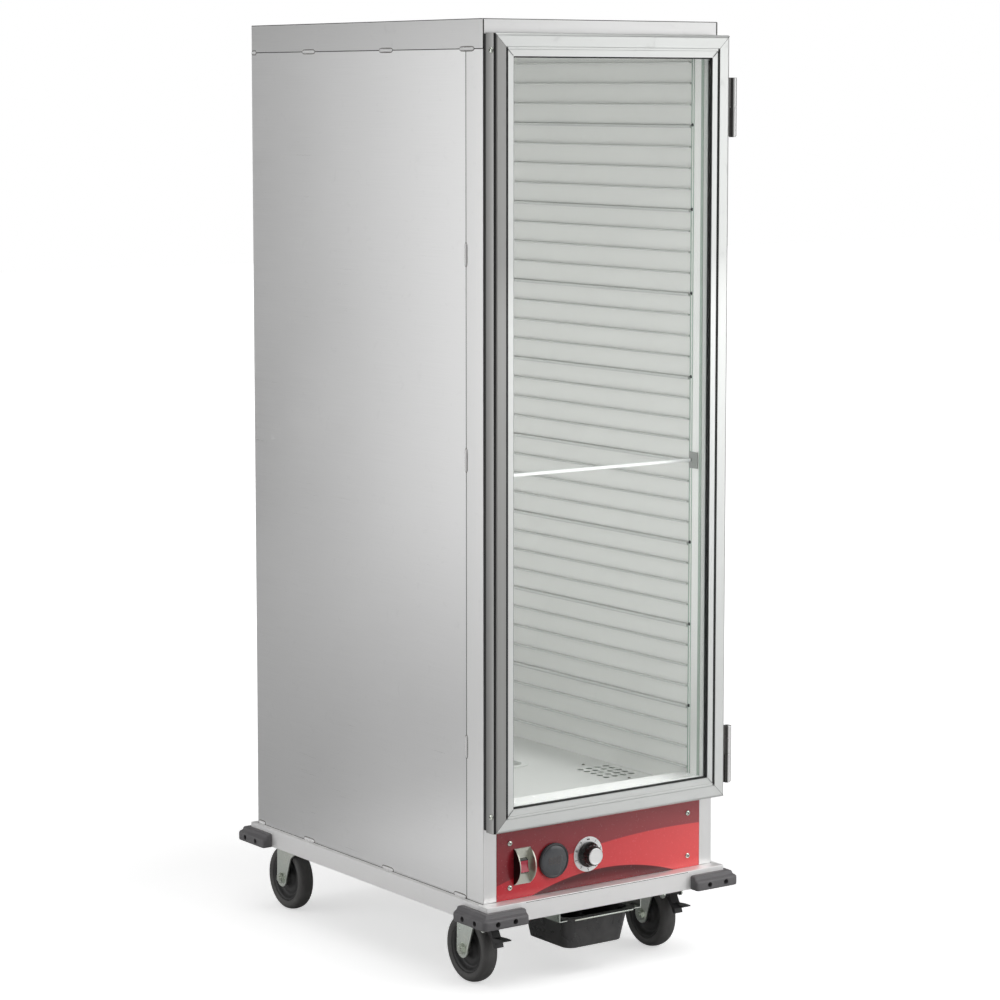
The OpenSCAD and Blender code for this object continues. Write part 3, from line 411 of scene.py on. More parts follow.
def rounded(outline, size, steps=4):
    """An open outline with each inner corner cut to an arc-like curve of about the given size."""
    soft = [outline[0]]
    for before, here, after in zip(outline, outline[1:], outline[2:]):
        before, here, after = Vector(before), Vector(here), Vector(after)
        reach = min(size, (before - here).length * 0.45, (after - here).length * 0.45)
        start = here + (before - here).normalized() * reach
        end = here + (after - here).normalized() * reach
        for i in range(steps + 1):
            t = i / steps
            soft.append(tuple(start * (1 - t) ** 2 + here * 2 * t * (1 - t) + end * t * t))
    soft.append(outline[-1])
    return soft


corners = ("front_left", "front_right", "rear_left", "rear_right")
tread_outline = [(-0.0105, 0.0452), (-0.0140, 0.0465), (-0.0158, 0.0520), (-0.0156, 0.0565),
    (-0.0128, 0.0604),
    (-0.0072, 0.0627), (0.0, 0.0635), (0.0072, 0.0627), (0.0128, 0.0604), (0.0156, 0.0565),
    (0.0158, 0.0520),
    (0.0140, 0.0465), (0.0105, 0.0452)]
core_outline = [(-0.0180, 0.0049), (-0.0180, 0.0120), (-0.0165, 0.0140), (-0.0075, 0.0160),
    (-0.0045, 0.0215),
    (-0.0050, 0.0300), (-0.0028, 0.0345), (-0.0055, 0.0385), (-0.0105, 0.0415), (-0.0125, 0.0458)]
for corner in corners:
    low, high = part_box("wheel_" + corner)
    middle = (low + high) / 2
    tyre = bmesh.new()
    turn(tyre, rounded(tread_outline, 0.002, 3) + [tread_outline[0]], middle, (1, 0, 0))
    new_piece("tyre_" + corner, tyre, tyre_rubber, "wheel_" + corner,
        ("wheel_" + corner,))
    core = bmesh.new()
    side = rounded(core_outline, 0.0022, 3)
    turn(core, side + [(-x, r) for x, r in reversed(side)] + [side[0]], middle, (1, 0, 0))
    new_piece("wheel_core_" + corner, core, core_plastic, "wheel_" + corner)
    dress(zinc, 0.0007, "fork_" + corner)
    dress(bolt_zinc, 0.0005, "axle_" + corner)
dress(zinc, 0.0006, "caster_plates")
dress(black_moulding, 0.0012, "brake_pedal_left", "brake_pedal_right")


# ---------- Corner bumpers ----------
# Thick grey rubber mouldings wrapped round the base's four corners, a full band below and a thinner
# band that slopes in above. Each leg is held by two screws set deep in round holes.

bumper_rubber = moulded("bumper_rubber", (0.135, 0.131, 0.136, 1), 0.45, grain=620.0, dust=0.12,
    relief=0.00008)
# Near black, painted shade of the bumper holes and of the screws' cross recesses.
hole_shade_black = moulded("hole_shade_black", (0.006, 0.006, 0.006, 1), 0.8)


def applied(piece):
    """Replaces a piece's mesh with the result of its modifiers."""
    graph = bpy.context.evaluated_depsgraph_get()
    mesh = bpy.data.meshes.new_from_object(piece.evaluated_get(graph))
    piece.modifiers.clear()
    piece.data = mesh


def cut(piece, tool):
    """Cuts a bmesh tool out of a piece."""
    cutter = bpy.data.objects.new("cutter", closed("cutter", tool))
    bpy.context.scene.collection.objects.link(cutter)
    knife = piece.modifiers.new("cut", "BOOLEAN")
    knife.object = cutter
    knife.solver = "EXACT"
    bpy.context.view_layer.update()
    applied(piece)
    bpy.data.objects.remove(cutter)


def smooth_by_angle(piece, degrees=35):
    piece.data.shade_smooth()
    piece.data.set_sharp_from_angle(angle=math.radians(degrees))


def bumper_ring(shape, section, across, along_at, shrink):
    """One ring of the bumper's section, placed by a function of its distance out from the base."""
    ring, middle_up = [], 0.013
    for out, up in section:
        rise = (up - middle_up) * shrink + middle_up
        ring.append(shape.verts.new(across(out * shrink, along_at) + Vector((0, 0, rise))))
    return ring


def make_bumper(corner_at, sx, sy, foot):
    """A bumper at a base corner. sx and sy turn it outwards."""
    leg, thick, turn_r, tall, arc_steps = 0.078, 0.020, 0.010, 0.027, 8
    outline = [(0, 0), (thick, 0), (thick, 0.017), (0.0125, 0.0205), (0.0105, tall), (0, tall)]
    section = rounded(outline, 0.0036)
    shape = bmesh.new()

    def point(x, y):
        return Vector((corner_at.x + sx * x, corner_at.y + sy * y, foot))

    rings = []
    ends = [(leg, 0.80), (leg - 0.0008, 0.90), (leg - 0.0025, 0.97), (leg - 0.006, 1.0)]
    for along, shrink in ends:
        rings.append(bumper_ring(shape, section, lambda out, a: point(-a, out), along, shrink))
    for step in range(arc_steps + 1):
        angle = math.radians(90 - 90 * step / arc_steps)

        def round_corner(out, a, angle=angle):
            radius = max(out - turn_r, 0.0006)
            middle = out - radius
            return point(middle + radius * math.cos(angle), middle + radius * math.sin(angle))

        rings.append(bumper_ring(shape, section, round_corner, 0, 1.0))
    for along, shrink in reversed(ends):
        rings.append(bumper_ring(shape, section, lambda out, a: point(out, -a), along, shrink))
    skin(shape, rings)
    shape.faces.new(rings[0])
    shape.faces.new(rings[-1])
    return shape


base_low, base_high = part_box("base_frame")
bumper_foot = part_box("corner_bumpers")[0].z
bumper_holes, hole_z = (0.010, 0.048), bumper_foot + 0.0095
hole_r, hole_start, past_face = 0.0050, 0.0062, 0.030
for sx in (-1, 1):
    for sy in (-1, 1):
        at = Vector((base_high.x * sx, base_high.y if sy > 0 else base_low.y, 0))
        name = ("rear_" if sy > 0 else "front_") + ("right" if sx > 0 else "left")
        replaced = ("corner_bumpers",) if name == "front_left" else ()
        bumper = new_piece("bumper_" + name, make_bumper(at, sx, sy, bumper_foot), bumper_rubber,
            "cabinet", replaced)
        # Each hole gets a near black screw head deep inside, painted shade of the hole.
        drill = bmesh.new()
        shaded_heads = bmesh.new()
        for back in bumper_holes:
            bore = [(hole_start, 0), (hole_start, hole_r), (past_face, hole_r), (past_face, 0)]
            head = [(0.0066, 0), (0.0082, 0.0020), (0.0080, 0.0040), (0.0066, 0.0046)]
            for place, way in ((Vector((at.x, at.y - sy * back, hole_z)), (sx, 0, 0)),
                    (Vector((at.x - sx * back, at.y, hole_z)), (0, sy, 0))):
                turn(drill, bore, place, way, 24)
                turn(shaded_heads, head, place, way, 24)
        cut(bumper, drill)
        smooth_by_angle(bumper, 40)
        new_piece("bumper_screws_" + name, shaded_heads, hole_shade_black, "cabinet")


# ---------- Body shell ----------
# Front posts, single-skin side and back panels and a folded top cap, all of bright aluminium sheet.
# The sheets meet in open seams, held by short welds that are left as laid.

side_sheet = rolled("side_sheet", (0.84, 0.84, 0.838, 1), 0.30, lines=(500, 7, 900), clouding=0.022,
    metallic=1.0, relief=0.00001)
cap_sheet = rolled("cap_sheet", (0.70, 0.70, 0.697, 1), 0.34, lines=(12, 12, 900), clouding=0.03,
    metallic=0.9, relief=0.00001)
post_metal = rolled("post_extrusion", (0.88, 0.88, 0.875, 1), 0.36, lines=(1500, 1500, 9),
    clouding=0.02, metallic=0.85, relief=0.00001)
seam_shadow = moulded("seam_shadow", (0.050, 0.048, 0.046, 1), 0.8, dust=0.2)
dress(side_sheet, 0.0006, "left_side_panel", "right_side_panel", "back_panel")
dress(cap_sheet, 0.0010, "top_cap")
dress(post_metal, 0.0010, "left_front_post", "right_front_post")


def slab(shape, low, high, edge=0.0):
    """Adds a box between two opposite corners, with its edges rounded."""
    low, high = [Vector(pick(pair) for pair in zip(low, high)) for pick in (min, max)]
    made = bmesh.ops.create_cube(shape, size=1.0)["verts"]
    size, middle = high - low, (low + high) / 2
    for vert in made:
        vert.co = Vector((vert.co.x * size.x, vert.co.y * size.y, vert.co.z * size.z)) + middle
    if edge:
        lines = list({line for vert in made for line in vert.link_edges})
        bmesh.ops.bevel(shape, geom=lines, offset=edge, segments=2, profile=0.7, affect="EDGES")


tube_w, tube_h, tube_wall = 0.0254, 0.035, 0.0024
tube_caps = bmesh.new()
for sx in (-1, 1):
    for y in (base_low.y, base_high.y - tube_w):
        slab(tube_caps, (sx * (base_high.x - 0.0022), y + tube_wall, base_high.z - tube_h + tube_wall),
            (sx * (base_high.x - 0.0001), y + tube_w - tube_wall, base_high.z - tube_wall), 0.0003)
new_piece("tube_end_caps", tube_caps, base_metal, "cabinet", smooth=False)

panel_low, panel_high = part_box("right_side_panel")
cap_low, cap_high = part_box("top_cap")
gap, proud, sunk, short = 0.0015, 0.00012, 0.0004, 0.001
rim_low, rim_high = cap_high.z - 0.0014, cap_high.z - 0.0004
front, back = cap_low.y, cap_high.y
bumper_leg = 0.085
seams = bmesh.new()
for sx in (-1, 1):
    face_in, face_out = sx * (panel_high.x - sunk), sx * (panel_high.x + proud)
    slab(seams, (face_in, panel_low.y - gap / 2, panel_low.z),
        (face_out, panel_low.y + gap / 2, cap_low.z))
    slab(seams, (face_in, front + short, cap_low.z - gap / 2),
        (face_out, back - short, cap_low.z + gap / 2))
    slab(seams, (sx * panel_high.x, front, base_high.z - 0.0002),
        (sx * (panel_high.x + 0.0012), back, base_high.z + proud))
    slab(seams, (sx * cap_high.x, front - 0.0003, cap_low.z),
        (sx * (cap_high.x - 0.0022), front + sunk, cap_high.z - short))
    slab(seams, (sx * (cap_high.x - sunk), front + short, rim_low),
        (sx * (cap_high.x + proud), back - short, rim_high))
slab(seams, (cap_low.x + short, front - proud, rim_low), (cap_high.x - short, front + sunk, rim_high))
slab(seams, (base_low.x + bumper_leg, base_low.y - proud, base_high.z - 0.0026),
    (base_high.x - bumper_leg, base_low.y + sunk, base_high.z - 0.0018))
slab(seams, (-panel_high.x, back - sunk, cap_low.z - gap / 2),
    (panel_high.x, back + proud, cap_low.z + gap / 2))
new_piece("panel_seams", seams, seam_shadow, "cabinet", smooth=False)


def solids_of(name):
    """The lowest and highest corner of each separate solid in a CAD node."""
    joined = bmesh.new()
    joined.from_mesh(nodes[name].data)
    bmesh.ops.remove_doubles(joined, verts=joined.verts, dist=1e-6)
    left, boxes = set(joined.verts), []
    while left:
        todo, found = [left.pop()], []
        while todo:
            vert = todo.pop()
            found.append(vert.co.copy())
            for line in vert.link_edges:
                other = line.other_vert(vert)
                if other in left:
                    left.remove(other)
                    todo.append(other)
        boxes.append((Vector(min(c[i] for c in found) for i in range(3)),
            Vector(max(c[i] for c in found) for i in range(3))))
    joined.free()
    return sorted(boxes, key=lambda box: tuple(round(c, 5) for c in box[0]))


weld_metal = rolled("weld_metal", (0.97, 0.97, 0.965, 1), 0.38, lines=(400, 400, 400), clouding=0.06,
    metallic=0.25, relief=0.00004)
# Each weld sits on a flat dark halo that is a painted shadow of the bead.
weld_halo_shadow = rolled("weld_halo_shadow", (0.20, 0.19, 0.18, 1), 0.5, lines=(300, 300, 300), clouding=0.2,
    metallic=0.4)
welds, weld_halo_shadows = bmesh.new(), bmesh.new()
ripple, bead_rise, bead_half, arc_steps = 0.0022, 0.0024, 0.0034, 8
mark_rise, mark_past, mark_wider, mark_steps = 0.00022, 0.0016, 0.0013, 24
for low, high in solids_of("weld_beads"):
    long = 1 if high.y - low.y > high.z - low.z else 2
    start, end = low[long], high[long]
    side = 1 if low.x > 0 else -1
    count = max(6, round((end - start) / ripple) * 2)
    middle = (low + high) / 2
    rings = []
    for i in range(count + 1):
        t = i / count
        body = math.sqrt(max(0.0, 1 - (2 * t - 1) ** 8)) * (0.86 + 0.14 * (i % 2))
        ring = []
        for step in range(arc_steps + 1):
            angle = math.radians(-90 + 180 * step / arc_steps)
            point = Vector((side * panel_high.x, middle.y, middle.z))
            point[long] = start + (end - start) * t
            point.x += side * bead_rise * body * math.cos(angle)
            point[3 - long] += bead_half * body * math.sin(angle) * (0.9 + 0.1 * math.sin(i * 1.7))
            ring.append(welds.verts.new(point))
        rings.append(ring)
    skin(welds, rings, closed_rings=False)
    flat = []
    for x, out in ((0.0, 1.0), (mark_rise, 0.86)):
        for step in range(mark_steps):
            angle = 2 * math.pi * step / mark_steps
            point = Vector((side * (panel_high.x + x), middle.y, middle.z))
            blunt = math.copysign(abs(math.cos(angle)) ** 0.35, math.cos(angle))
            point[long] += ((end - start) / 2 + mark_past) * out * blunt
            point[3 - long] += (bead_half + mark_wider) * out * math.sin(angle)
            flat.append(weld_halo_shadows.verts.new(point))
    skin(weld_halo_shadows, [flat[:mark_steps], flat[mark_steps:]])
    weld_halo_shadows.faces.new(flat[mark_steps:])
new_piece("weld_shadow_halos", weld_halo_shadows, weld_halo_shadow, "cabinet")
new_piece("welds", welds, weld_metal, "cabinet", ("weld_beads",))


# ---------- Inside ----------
# Satin aluminium planks stacked up both walls with the pan slides on them, a floor punched with air
# holes, a ceiling with its header, a bright folded sill, and a plated cross rod half way up.

inner_sheet = rolled("inner_sheet", (0.80, 0.805, 0.79, 1), 0.5, lines=(400, 7, 900), clouding=0.025,
    metallic=0.55, relief=0.00001)
# The pan slides are a darker copy of the walls' aluminium, painted shade.
shaded_slide_metal = rolled("shaded_slide_metal", (0.60, 0.61, 0.60, 1), 0.42, lines=(900, 7, 900), clouding=0.02,
    metallic=0.6, relief=0.00001)
floor_sheet = rolled("floor_sheet", (0.74, 0.75, 0.735, 1), 0.38, lines=(900, 9, 400), clouding=0.04,
    metallic=0.6, relief=0.00001)
sill_metal = rolled("sill_metal", (0.93, 0.93, 0.925, 1), 0.24, lines=(7, 900, 900), clouding=0.02,
    metallic=0.25)
dress(inner_sheet, 0.0006, "wall_planks", "ceiling_panel", "bottom_tray")
dress(shaded_slide_metal, 0.0005, "pan_slides")
dress(floor_sheet, 0.0004, "interior_floor", "water_pan")
dress(sill_metal, 0.0008, "door_sill")
rod_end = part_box("tie_rod")[1].x


def dull_feet(tree):
    """Bright along the rod, dull grey on the welded foot at each end."""
    across = axes_in(tree)["X"]
    aside = add(tree, "ShaderNodeMath", {0: across}, operation="ABSOLUTE").outputs[0]
    foot = ramp(tree, aside, rod_end - 0.005, rod_end - 0.004)
    return mixed(tree, foot, (0.96, 0.96, 0.96, 1), (0.33, 0.34, 0.33, 1))


rod_plate = rolled("rod_plate", dull_feet, 0.36, lines=(9, 600, 600), clouding=0.08, metallic=0.2,
    relief=0.00001)
dress(rod_plate, 0.0006, "tie_rod")

wall_low, wall_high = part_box("wall_planks")
slides_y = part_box("pan_slides")[0].y
# Three dark strips by each front post: two narrow ones at the plank ends, and a wide one that is painted
# shade.
end_metal_and_shade = plated("plank_end_metal_and_shade", (0.44, 0.50, 0.48, 1), 0.4, metallic=0.6)
joint_dark = moulded("joint_dark", (0.045, 0.05, 0.05, 1), 0.6)
plank_ends, joint_spots = bmesh.new(), bmesh.new()
plank_tops = sorted({round(high.z, 4) for low, high in solids_of("wall_planks")})[:-1]
post_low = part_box("right_front_post")[0]
for sx in (-1, 1):
    post_x = sx * post_low.x
    for forward, wide in ((0.0025, 0.0024), (0.0085, 0.0014), (0.0330, 0.0070)):
        y = slides_y - forward
        slab(plank_ends, (post_x + sx * 0.0002, y - wide / 2, wall_low.z),
            (post_x - sx * 0.0010, y + wide / 2, wall_high.z), 0.0004)
    for z in plank_tops:
        dome = rounded([(0.0, 0.0032), (-0.0012, 0.0028), (-0.0020, 0.0)], 0.0006, 3)
        turn(joint_spots, dome, (post_x, slides_y - 0.0040, z), (sx, 0, 0), 16)
new_piece("plank_end_strips", plank_ends, end_metal_and_shade, "cabinet")
new_piece("plank_joint_spots", joint_spots, joint_dark, "cabinet")


# ---------- Machine compartment ----------
# Behind the control panel: a blower with its motor, a hairpin heating element and the thermostat's
# body. Plated and heat-dulled steel, screwed to the tray and never polished.

dull_steel = plated("dull_steel", (0.22, 0.21, 0.20, 1), 0.5, metallic=0.9, relief=0.00004)
dress(zinc, 0.0006, "blower_housing", "blower_wheel", "thermostat_body")
dress(dull_steel, 0.0006, "heating_element", "blower_motor")


# ---------- Control panel ----------
# A plate printed in three glossy reds and held by four cross-head screws. It carries a rocker switch
# in a nickel guard, a round display behind a smoked lens, and a thermostat knob on a numbered plate.

plate_low, plate_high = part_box("control_panel")


def make_printed_sweeps():
    """A dark upper field, a bright sweep that climbs to the right and a low dark hill, in soft reds."""
    group, given, result = new_group("printed_sweeps",
        [("Upper Left", "colour", (0.31, 0.014, 0.024, 1)),
            ("Upper Right", "colour", (0.44, 0.080, 0.088, 1)),
            ("Sweep Left", "colour", (0.64, 0.014, 0.030, 1)),
            ("Sweep Right", "colour", (0.98, 0.110, 0.112, 1)),
            ("Hill", "colour", (0.10, 0.006, 0.009, 1)), ("Gloss", "float", 0.25)])
    place, split = place_in(group), axes_in(group)
    across = ramp(group, split["X"], plate_low.x, plate_high.x)
    up = ramp(group, split["Z"], plate_low.z, plate_high.z)

    def below(top, bend, peak):
        aside = calc(group, across, peak, "SUBTRACT")
        fall = calc(group, calc(group, aside, aside, "MULTIPLY"), bend, "MULTIPLY")
        edge = calc(group, calc(group, fall, -1.0, "MULTIPLY"), top)
        over = calc(group, edge, up, "SUBTRACT")
        return add(group, "ShaderNodeMapRange", {0: over, 1: -0.006, 2: 0.006},
            interpolation_type="SMOOTHSTEP").outputs[0], over

    sweep, _ = below(0.63, 0.56, 0.86)
    hill, depth = below(0.21, 1.7, 0.52)
    fade = ramp(group, depth, 0.04, 0.60)
    upper = mixed(group, across, given["Upper Left"], given["Upper Right"])
    bright = mixed(group, across, given["Sweep Left"], given["Sweep Right"])
    low_hill = mixed(group, fade, given["Hill"], given["Sweep Left"])
    colour = mixed(group, hill, mixed(group, sweep, upper, bright), low_hill)
    fleck = add(group, "ShaderNodeTexNoise", {"Vector": place, "Scale": 260.0,
        "Detail": 3.0}).outputs["Fac"]
    group.links.new(tinted(group, colour, scaled(group, fleck, 0.96, 1.04)), result["Colour"])
    group.links.new(calc(group, given["Gloss"], scaled(group, fleck, -0.04, 0.04)), result["Roughness"])
    group.links.new(fleck, result["Height"])
    return group


panel_print = finish("panel_print", make_printed_sweeps(), {"Gloss": 0.26}, relief=0.00001,
    Coat_Weight=0.3, Coat_Roughness=0.12)
guard_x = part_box("switch_guard")[0].x


def dark_outside(tree):
    """Nickel with a painted reflection of the dark print: near black on the outer side of the left wing.
    """
    split = axes_in(tree)
    outside = ramp(tree, split["X"], guard_x + 0.0003, guard_x + 0.0008, 1.0, 0.0)
    return mixed(tree, outside, (0.66, 0.64, 0.60, 1), (0.05, 0.03, 0.03, 1))


# The guard's colour holds a painted reflection, near black on the outer side of its left wing.
nickel = plated("guard_nickel", dark_outside, 0.30, metallic=0.9)
dress(panel_print, 0.0, "control_panel")
dress(nickel, 0.0010, "switch_guard")
dress(black_moulding, 0.0006, "switch_body")

rocker_low, rocker_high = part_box("power_rocker")


def black_tipped(tree):
    """Red plastic with a black band across each end of the rocker."""
    height = axes_in(tree)["Z"]
    from_middle = calc(tree, height, (rocker_low.z + rocker_high.z) / 2, "SUBTRACT")
    away = add(tree, "ShaderNodeMath", {0: from_middle}, operation="ABSOLUTE").outputs[0]
    half = (rocker_high.z - rocker_low.z) / 2
    band = ramp(tree, away, half * 0.70, half * 0.74)
    return mixed(tree, band, (0.52, 0.020, 0.055, 1), (0.012, 0.012, 0.012, 1))


rocker_red = moulded("rocker_red", black_tipped, 0.2, grain=300.0, dust=0.0, Coat_Weight=0.5)
dress(rocker_red, 0.0012, "power_rocker")

face_y = plate_low.y
screw_head = [(0.0, 0.0030), (0.0002, 0.0040), (-0.0010, 0.0043), (-0.0020, 0.0036), (-0.0026, 0.0020),
    (-0.0027, 0.0)]


def cross_screw(heads, recesses, at, way, scale=1.0):
    """Adds a pan head facing against way, with its cross recess as a flat dark cross on the head, painted
    shade.
    """
    way = Vector(way)
    turn(heads, [(x * scale, r * scale) for x, r in rounded(screw_head, 0.0006, 3)], at, way, 32)
    top = Vector(at) - way * 0.00278 * scale
    aside = way.orthogonal().normalized()
    up = way.cross(aside)
    # The recess is a flat near black cross, painted shade in place of a cut.
    for one, other in ((aside, up), (up, aside)):
        a, b = one * 0.0021 * scale, other * 0.00042 * scale
        recesses.faces.new([recesses.verts.new(top + p) for p in (a + b, a - b, -a - b, -a + b)])


panel_screws, panel_recesses = bmesh.new(), bmesh.new()
floor_screws = bmesh.new()
plate_bolts = bmesh.new()
floor_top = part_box("interior_floor")[1].z
for low, high in solids_of("frame_fasteners"):
    middle = (low + high) / 2
    if low.y < face_y and plate_low.z < middle.z < plate_high.z:
        cross_screw(panel_screws, panel_recesses, (middle.x, face_y, middle.z), (0, 1, 0), 1.2)
    elif high.z > floor_top:
        dome = [(0, 0.0001), (0, 0.0030), (0.0008, 0.0029), (0.0017, 0.0018), (0.0020, 0.0)]
        turn(floor_screws, rounded(dome, 0.0004, 2), (middle.x, middle.y, floor_top), (0, 0, 1), 24)
    elif middle.z > base_low.z + 0.009:
        hexagon = [(0, 0.0), (0, 0.0058), (0.0006, 0.0065), (0.0046, 0.0065), (0.0050, 0.0062),
            (0.0050, 0.0)]
        turn(plate_bolts, hexagon, (middle.x, middle.y, low.z), (0, 0, 1), 6)
new_piece("panel_screws", panel_screws, bolt_zinc, "cabinet", ("frame_fasteners",))
new_piece("panel_screw_recesses", panel_recesses, hole_shade_black, "cabinet", smooth=False)
new_piece("floor_screws", floor_screws, dull_steel, "cabinet")
new_piece("caster_plate_bolts", plate_bolts, bolt_zinc, "cabinet", smooth=False)

display_low, display_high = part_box("temperature_display")
display_mid = (display_low + display_high) / 2
bezel_black = moulded("bezel_black", (0.040, 0.043, 0.047, 1), 0.34, grain=1200.0, dust=0.05,
    relief=0.00002)
lens_smoke = moulded("lens_smoke", (0.055, 0.060, 0.066, 1), 0.22, grain=500.0, dust=0.10,
    Coat_Weight=0.6, Coat_Roughness=0.10)
digit_dim = moulded("digit_dim", (0.100, 0.082, 0.075, 1), 0.4)
bezel_r = (display_high.x - display_low.x) / 2
bezel = bmesh.new()
turn(bezel, rounded([(0.0, 0.0), (0.0, bezel_r - 0.0005), (-0.0042, bezel_r),
    (-0.0060, bezel_r - 0.0022),
    (-0.0058, bezel_r - 0.0034), (-0.0046, bezel_r - 0.0046), (-0.0046, 0.0)], 0.0008, 3),
    (display_mid.x, face_y, display_mid.z), (0, 1, 0))
new_piece("display_bezel", bezel, bezel_black, "cabinet", ("temperature_display",))
lens = bmesh.new()
turn(lens, [(-0.0046, bezel_r - 0.0047), (-0.0050, bezel_r - 0.0058), (-0.0054, bezel_r * 0.5),
    (-0.0056, 0.0)],
    (display_mid.x, face_y, display_mid.z), (0, 1, 0))
new_piece("display_lens", lens, lens_smoke, "cabinet")
digits = bmesh.new()
digit_w, digit_h, bar, digit_pitch, shrink = 0.0060, 0.0115, 0.0013, 0.0095, 0.42
digit_front, digit_back = face_y - 0.00575, face_y - 0.0053
across, upright = (digit_w, bar), (bar, digit_h / 2)
for place in (-1, 0, 1):
    x = display_mid.x + place * digit_pitch
    for dx, dz, (w, h) in ((0, 1, across), (0, 0, across), (0, -1, across), (-1, 0.5, upright),
            (1, 0.5, upright), (-1, -0.5, upright), (1, -0.5, upright)):
        cx, cz = x + dx * digit_w / 2, display_mid.z + dz * digit_h / 2
        slab(digits, (cx - w * shrink, digit_front, cz - h * shrink),
            (cx + w * shrink, digit_back, cz + h * shrink))
new_piece("display_digits", digits, digit_dim, "cabinet", smooth=False)

dial_low, dial_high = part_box("dial_plate")
dial_mid = (dial_low + dial_high) / 2
dial_grey = moulded("dial_enamel", (0.97, 0.97, 0.965, 1), 0.4, grain=400.0, dust=0.02, metallic=0.6)
ink = moulded("dial_ink", (0.02, 0.02, 0.02, 1), 0.5)
dress(dial_grey, 0.0003, "dial_plate")
numbers = bmesh.new()
number_r, number_size, ink_y = 0.0272, 0.0078, dial_low.y - 0.00006
for value in range(1, 10):
    angle = math.radians(90 - 36 * value)
    curve = bpy.data.curves.new("number", "FONT")
    curve.body = str(value)
    curve.size = number_size
    curve.align_x = "CENTER"
    curve.align_y = "CENTER"
    maker = bpy.data.objects.new("number", curve)
    bpy.context.scene.collection.objects.link(maker)
    bpy.context.view_layer.update()
    flat = bpy.data.meshes.new_from_object(maker.evaluated_get(bpy.context.evaluated_depsgraph_get()))
    spin = Matrix.Rotation(angle - math.radians(90), 4, "Z")
    spin = Matrix.Rotation(math.radians(90), 4, "X") @ spin
    centre = (dial_mid.x + number_r * math.cos(angle), ink_y, dial_mid.z + number_r * math.sin(angle))
    flat.transform(Matrix.Translation(centre) @ spin)
    numbers.from_mesh(flat)
    bpy.data.objects.remove(maker)
    bpy.data.meshes.remove(flat)
slab(numbers, (dial_mid.x - 0.0032, ink_y - 0.00004, dial_mid.z + number_r - 0.0011),
    (dial_mid.x + 0.0032, ink_y, dial_mid.z + number_r + 0.0011))
new_piece("dial_numbers", numbers, ink, "cabinet", smooth=False)

knob_low, knob_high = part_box("heat_knob")
knob_mid = (knob_low + knob_high) / 2
knob_cap_low, knob_cap_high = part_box("knob_cap")
knob_black = moulded("knob_black", (0.010, 0.010, 0.010, 1), 0.22, grain=1500.0, dust=0.04,
    relief=0.00002, Coat_Weight=0.15)
cap_silver = rolled("knob_silver", (0.98, 0.98, 0.98, 1), 0.34, lines=(700, 40, 700), clouding=0.02,
    metallic=0.7)


def fluted_knob(shape, back, front, skirt_r, grip_r, middle, steps=144):
    """A turned knob: a flared skirt with a bead, and a grip with flutes."""
    rings, flutes, flute_deep, hollow_r = [], 12, 0.0014, 0.003
    deep = front - back
    for share, radius, flute in ((0.0, hollow_r, 0), (0.0, skirt_r - 0.001, 0), (0.03, skirt_r, 0),
            (0.14, skirt_r, 0), (0.19, skirt_r - 0.0015, 0), (0.30, grip_r + 0.0022, 0),
            (0.40, grip_r + 0.0004, 0.3), (0.50, grip_r, 1), (0.90, grip_r - 0.0006, 1),
            (0.97, grip_r - 0.0014, 1),
            (1.0, grip_r - 0.0028, 0.6), (1.0, 0.0005, 0)):
        ring = []
        for step in range(steps):
            angle = 2 * math.pi * step / steps
            r = radius - max(0.0, math.cos(flutes * angle)) ** 2 * flute_deep * flute
            ring.append(shape.verts.new((middle.x + r * math.cos(angle), back + deep * share,
                middle.z + r * math.sin(angle))))
        rings.append(ring)
    skin(shape, rings)


knob = bmesh.new()
fluted_knob(knob, knob_high.y, knob_cap_high.y - 0.0004, (knob_high.x - knob_low.x) / 2, 0.0180,
    knob_mid)
knob_piece = new_piece("fluted_knob", knob, knob_black, "knob", ("heat_knob",))
smooth_by_angle(knob_piece, 50)
cap = bmesh.new()
cap_r = (knob_cap_high.x - knob_cap_low.x) / 2
turn(cap, rounded([(0.0, 0.0), (0.0, cap_r - 0.0003), (-0.0015, cap_r - 0.0004),
    (-0.0019, cap_r - 0.0016),
    (-0.0014, cap_r - 0.0026), (-0.0017, 0.0)], 0.0005, 3), (knob_mid.x, knob_cap_high.y, knob_mid.z),
    (0, 1, 0))
new_piece("knob_disc", cap, cap_silver, "knob", ("knob_cap",))


# ---------- Door ----------
# Four mitred aluminium bars round a clear pane, with black lines in the stiles' grooves and at the
# free corner, a black glazing seal, a magnetic seal on the back and two screws in the free edge.

stile_low, stile_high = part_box("door_left_stile")


def shaded_free_edge(tree):
    """Bar aluminium with painted shade: darker on the left stile's outer land and free edge, darkest at
    its back.
    """
    split = axes_in(tree)
    forward = ramp(tree, split["Y"], stile_high.y, stile_low.y)
    on_shaded_edge = ramp(tree, split["X"], stile_low.x + 0.0004, stile_low.x + 0.0012, 1.0, 0.0)
    edge = mixed(tree, forward, (0.24, 0.24, 0.235, 1), (0.58, 0.58, 0.57, 1))
    on_shaded_land = ramp(tree, split["X"], stile_low.x + 0.0230, stile_low.x + 0.0236, 1.0, 0.0)
    face = mixed(tree, on_shaded_land, (0.80, 0.815, 0.80, 1), (0.40, 0.40, 0.39, 1))
    return mixed(tree, on_shaded_edge, face, edge)


